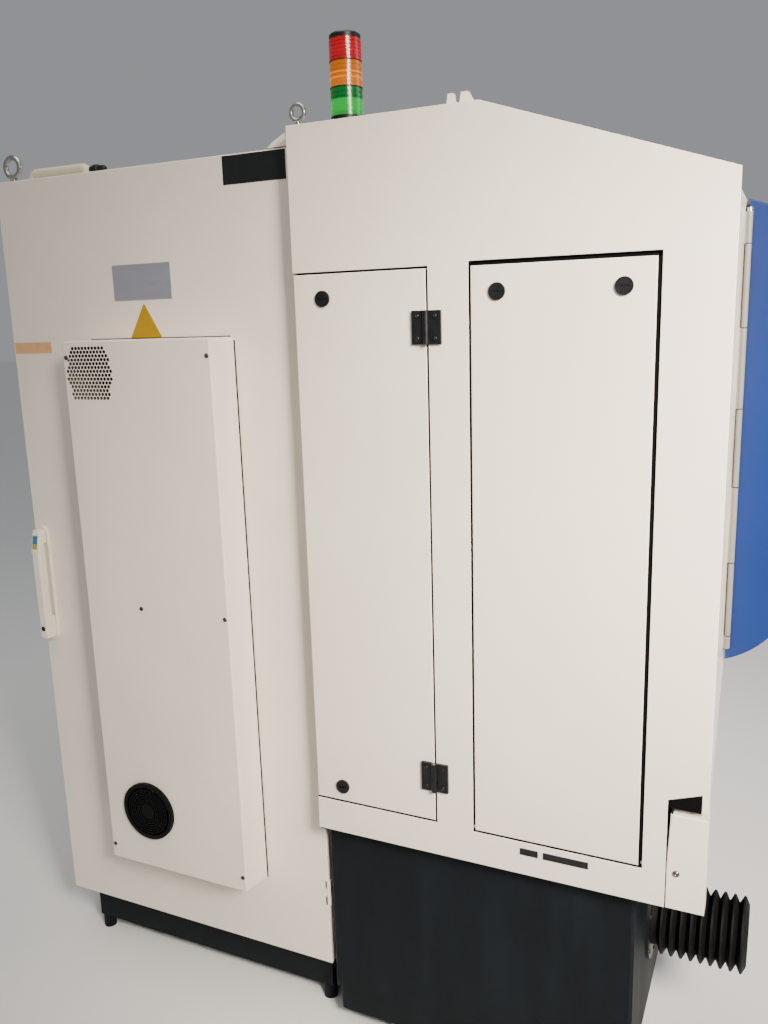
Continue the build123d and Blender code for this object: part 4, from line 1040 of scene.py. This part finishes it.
# %% Gland
gland = bmesh.new()
neck, nut, taper = [(0, 0), (7, 0), (7, 8)], [(9.5, 9), (9.5, 20)], [(7.5, 22), (6.5, 38)]
gland_profile = [*neck, *nut, *taper, (3, 42), (0, 42)]
gland_height = reach("cabinet_shell")[1].z + 9.8
gland_end = (90, reach("roof_conduit")[0].y - 1, gland_height)
add_turned(gland, gland_profile, gland_end, forward, steps=12)
settle("roof_gland", gland, black_nylon, "machine")
print("gland placed")

# %% [markdown]
# ## Floor, light and camera
# A plain pale floor and soft boxes as in a studio. The key stands high on the left and has a
# honeycomb, which narrows its beam, so its light fades toward the cabinet's edges. A large box
# lights from above and a weak one the front. The camera has the photograph's own place, turn and
# lens, solved from the machine's edges: eye height, a little downward, slightly rolled.

# %% Floor
stage_bm = bmesh.new()
bmesh.ops.create_grid(stage_bm, x_segments=1, y_segments=1, size=40)
stage_mesh = bpy.data.meshes.new("studio_floor")
stage_bm.to_mesh(stage_mesh)
stage_bm.free()
floor = bpy.data.objects.new("studio_floor", stage_mesh)
bpy.context.scene.collection.objects.link(floor)
floor_pale, tree, shader = finish("pale_floor", "#F2F2F0", 0.9, Specular_IOR_Level=0.0)
floor.data.materials.append(floor_pale)

world = bpy.data.worlds.new("studio")
bpy.context.scene.world = world
world.use_nodes = True
background = world.node_tree.nodes["Background"]
background.inputs["Color"].default_value = linear("#E9EDF2")
background.inputs["Strength"].default_value = 0.36
print("floor and world ready")

# %% Soft boxes


def soft_box(name, at, target, size, watts, colour, beam=180):
    """A soft box: where it stands and what it faces in metres, and how wide its beam is."""
    lamp = bpy.data.lights.new(name, "AREA")
    lamp.shape = "RECTANGLE"
    lamp.size, lamp.size_y = size
    lamp.energy = watts
    lamp.color = linear(colour)[:3]
    lamp.spread = math.radians(beam)
    holder = bpy.data.objects.new(name, lamp)
    holder.location = at
    holder.rotation_mode = "QUATERNION"
    holder.rotation_quaternion = (Vector(target) - Vector(at)).to_track_quat("-Z", "Y")
    bpy.context.scene.collection.objects.link(holder)


key_at, key_target = (-2.5, -2.3, 2.6), (-0.77, -0.95, 1.42)
top_at, top_target = (-1.0, 0.0, 4.4), (-0.4, 0.0, 1.0)
front_at, front_target = (1.6, -4.0, 2.4), (0, 0, 1.1)
soft_box("key", key_at, key_target, (1.0, 0.9), 44, "#FFF4E6", beam=50)
soft_box("top", top_at, top_target, (2.6, 3.4), 78, "#FFFAF2")
soft_box("front", front_at, front_target, (2.0, 2.0), 40, "#EAF1FF")
print("soft boxes placed")

# %% Camera
lens_mm, long_side_mm = 31.29, 36.0
camera_place = place(-1520, -93.3, 1600)
yaw, pitch, roll = math.radians(24.917), math.radians(12.056), math.radians(-1.721)
level_ahead = math.cos(pitch)
ahead = Vector((level_ahead * math.cos(yaw), level_ahead * math.sin(yaw), -math.sin(pitch)))
right = ahead.cross(Vector((0, 0, 1))).normalized()
above = right.cross(ahead)
rolled_right = math.cos(roll) * right + math.sin(roll) * above
rolled_above = -math.sin(roll) * right + math.cos(roll) * above
camera_data = bpy.data.cameras.new("portrait")
camera_data.lens = lens_mm
camera_data.sensor_width = long_side_mm
camera_data.clip_start, camera_data.clip_end = 0.05, 60
camera = bpy.data.objects.new("portrait", camera_data)
turned = Matrix((rolled_right, rolled_above, -ahead)).transposed()
camera.matrix_world = Matrix.Translation(camera_place) @ turned.to_4x4()
bpy.context.scene.collection.objects.link(camera)
bpy.context.scene.camera = camera
print("camera at", [round(v, 3) for v in camera_place])
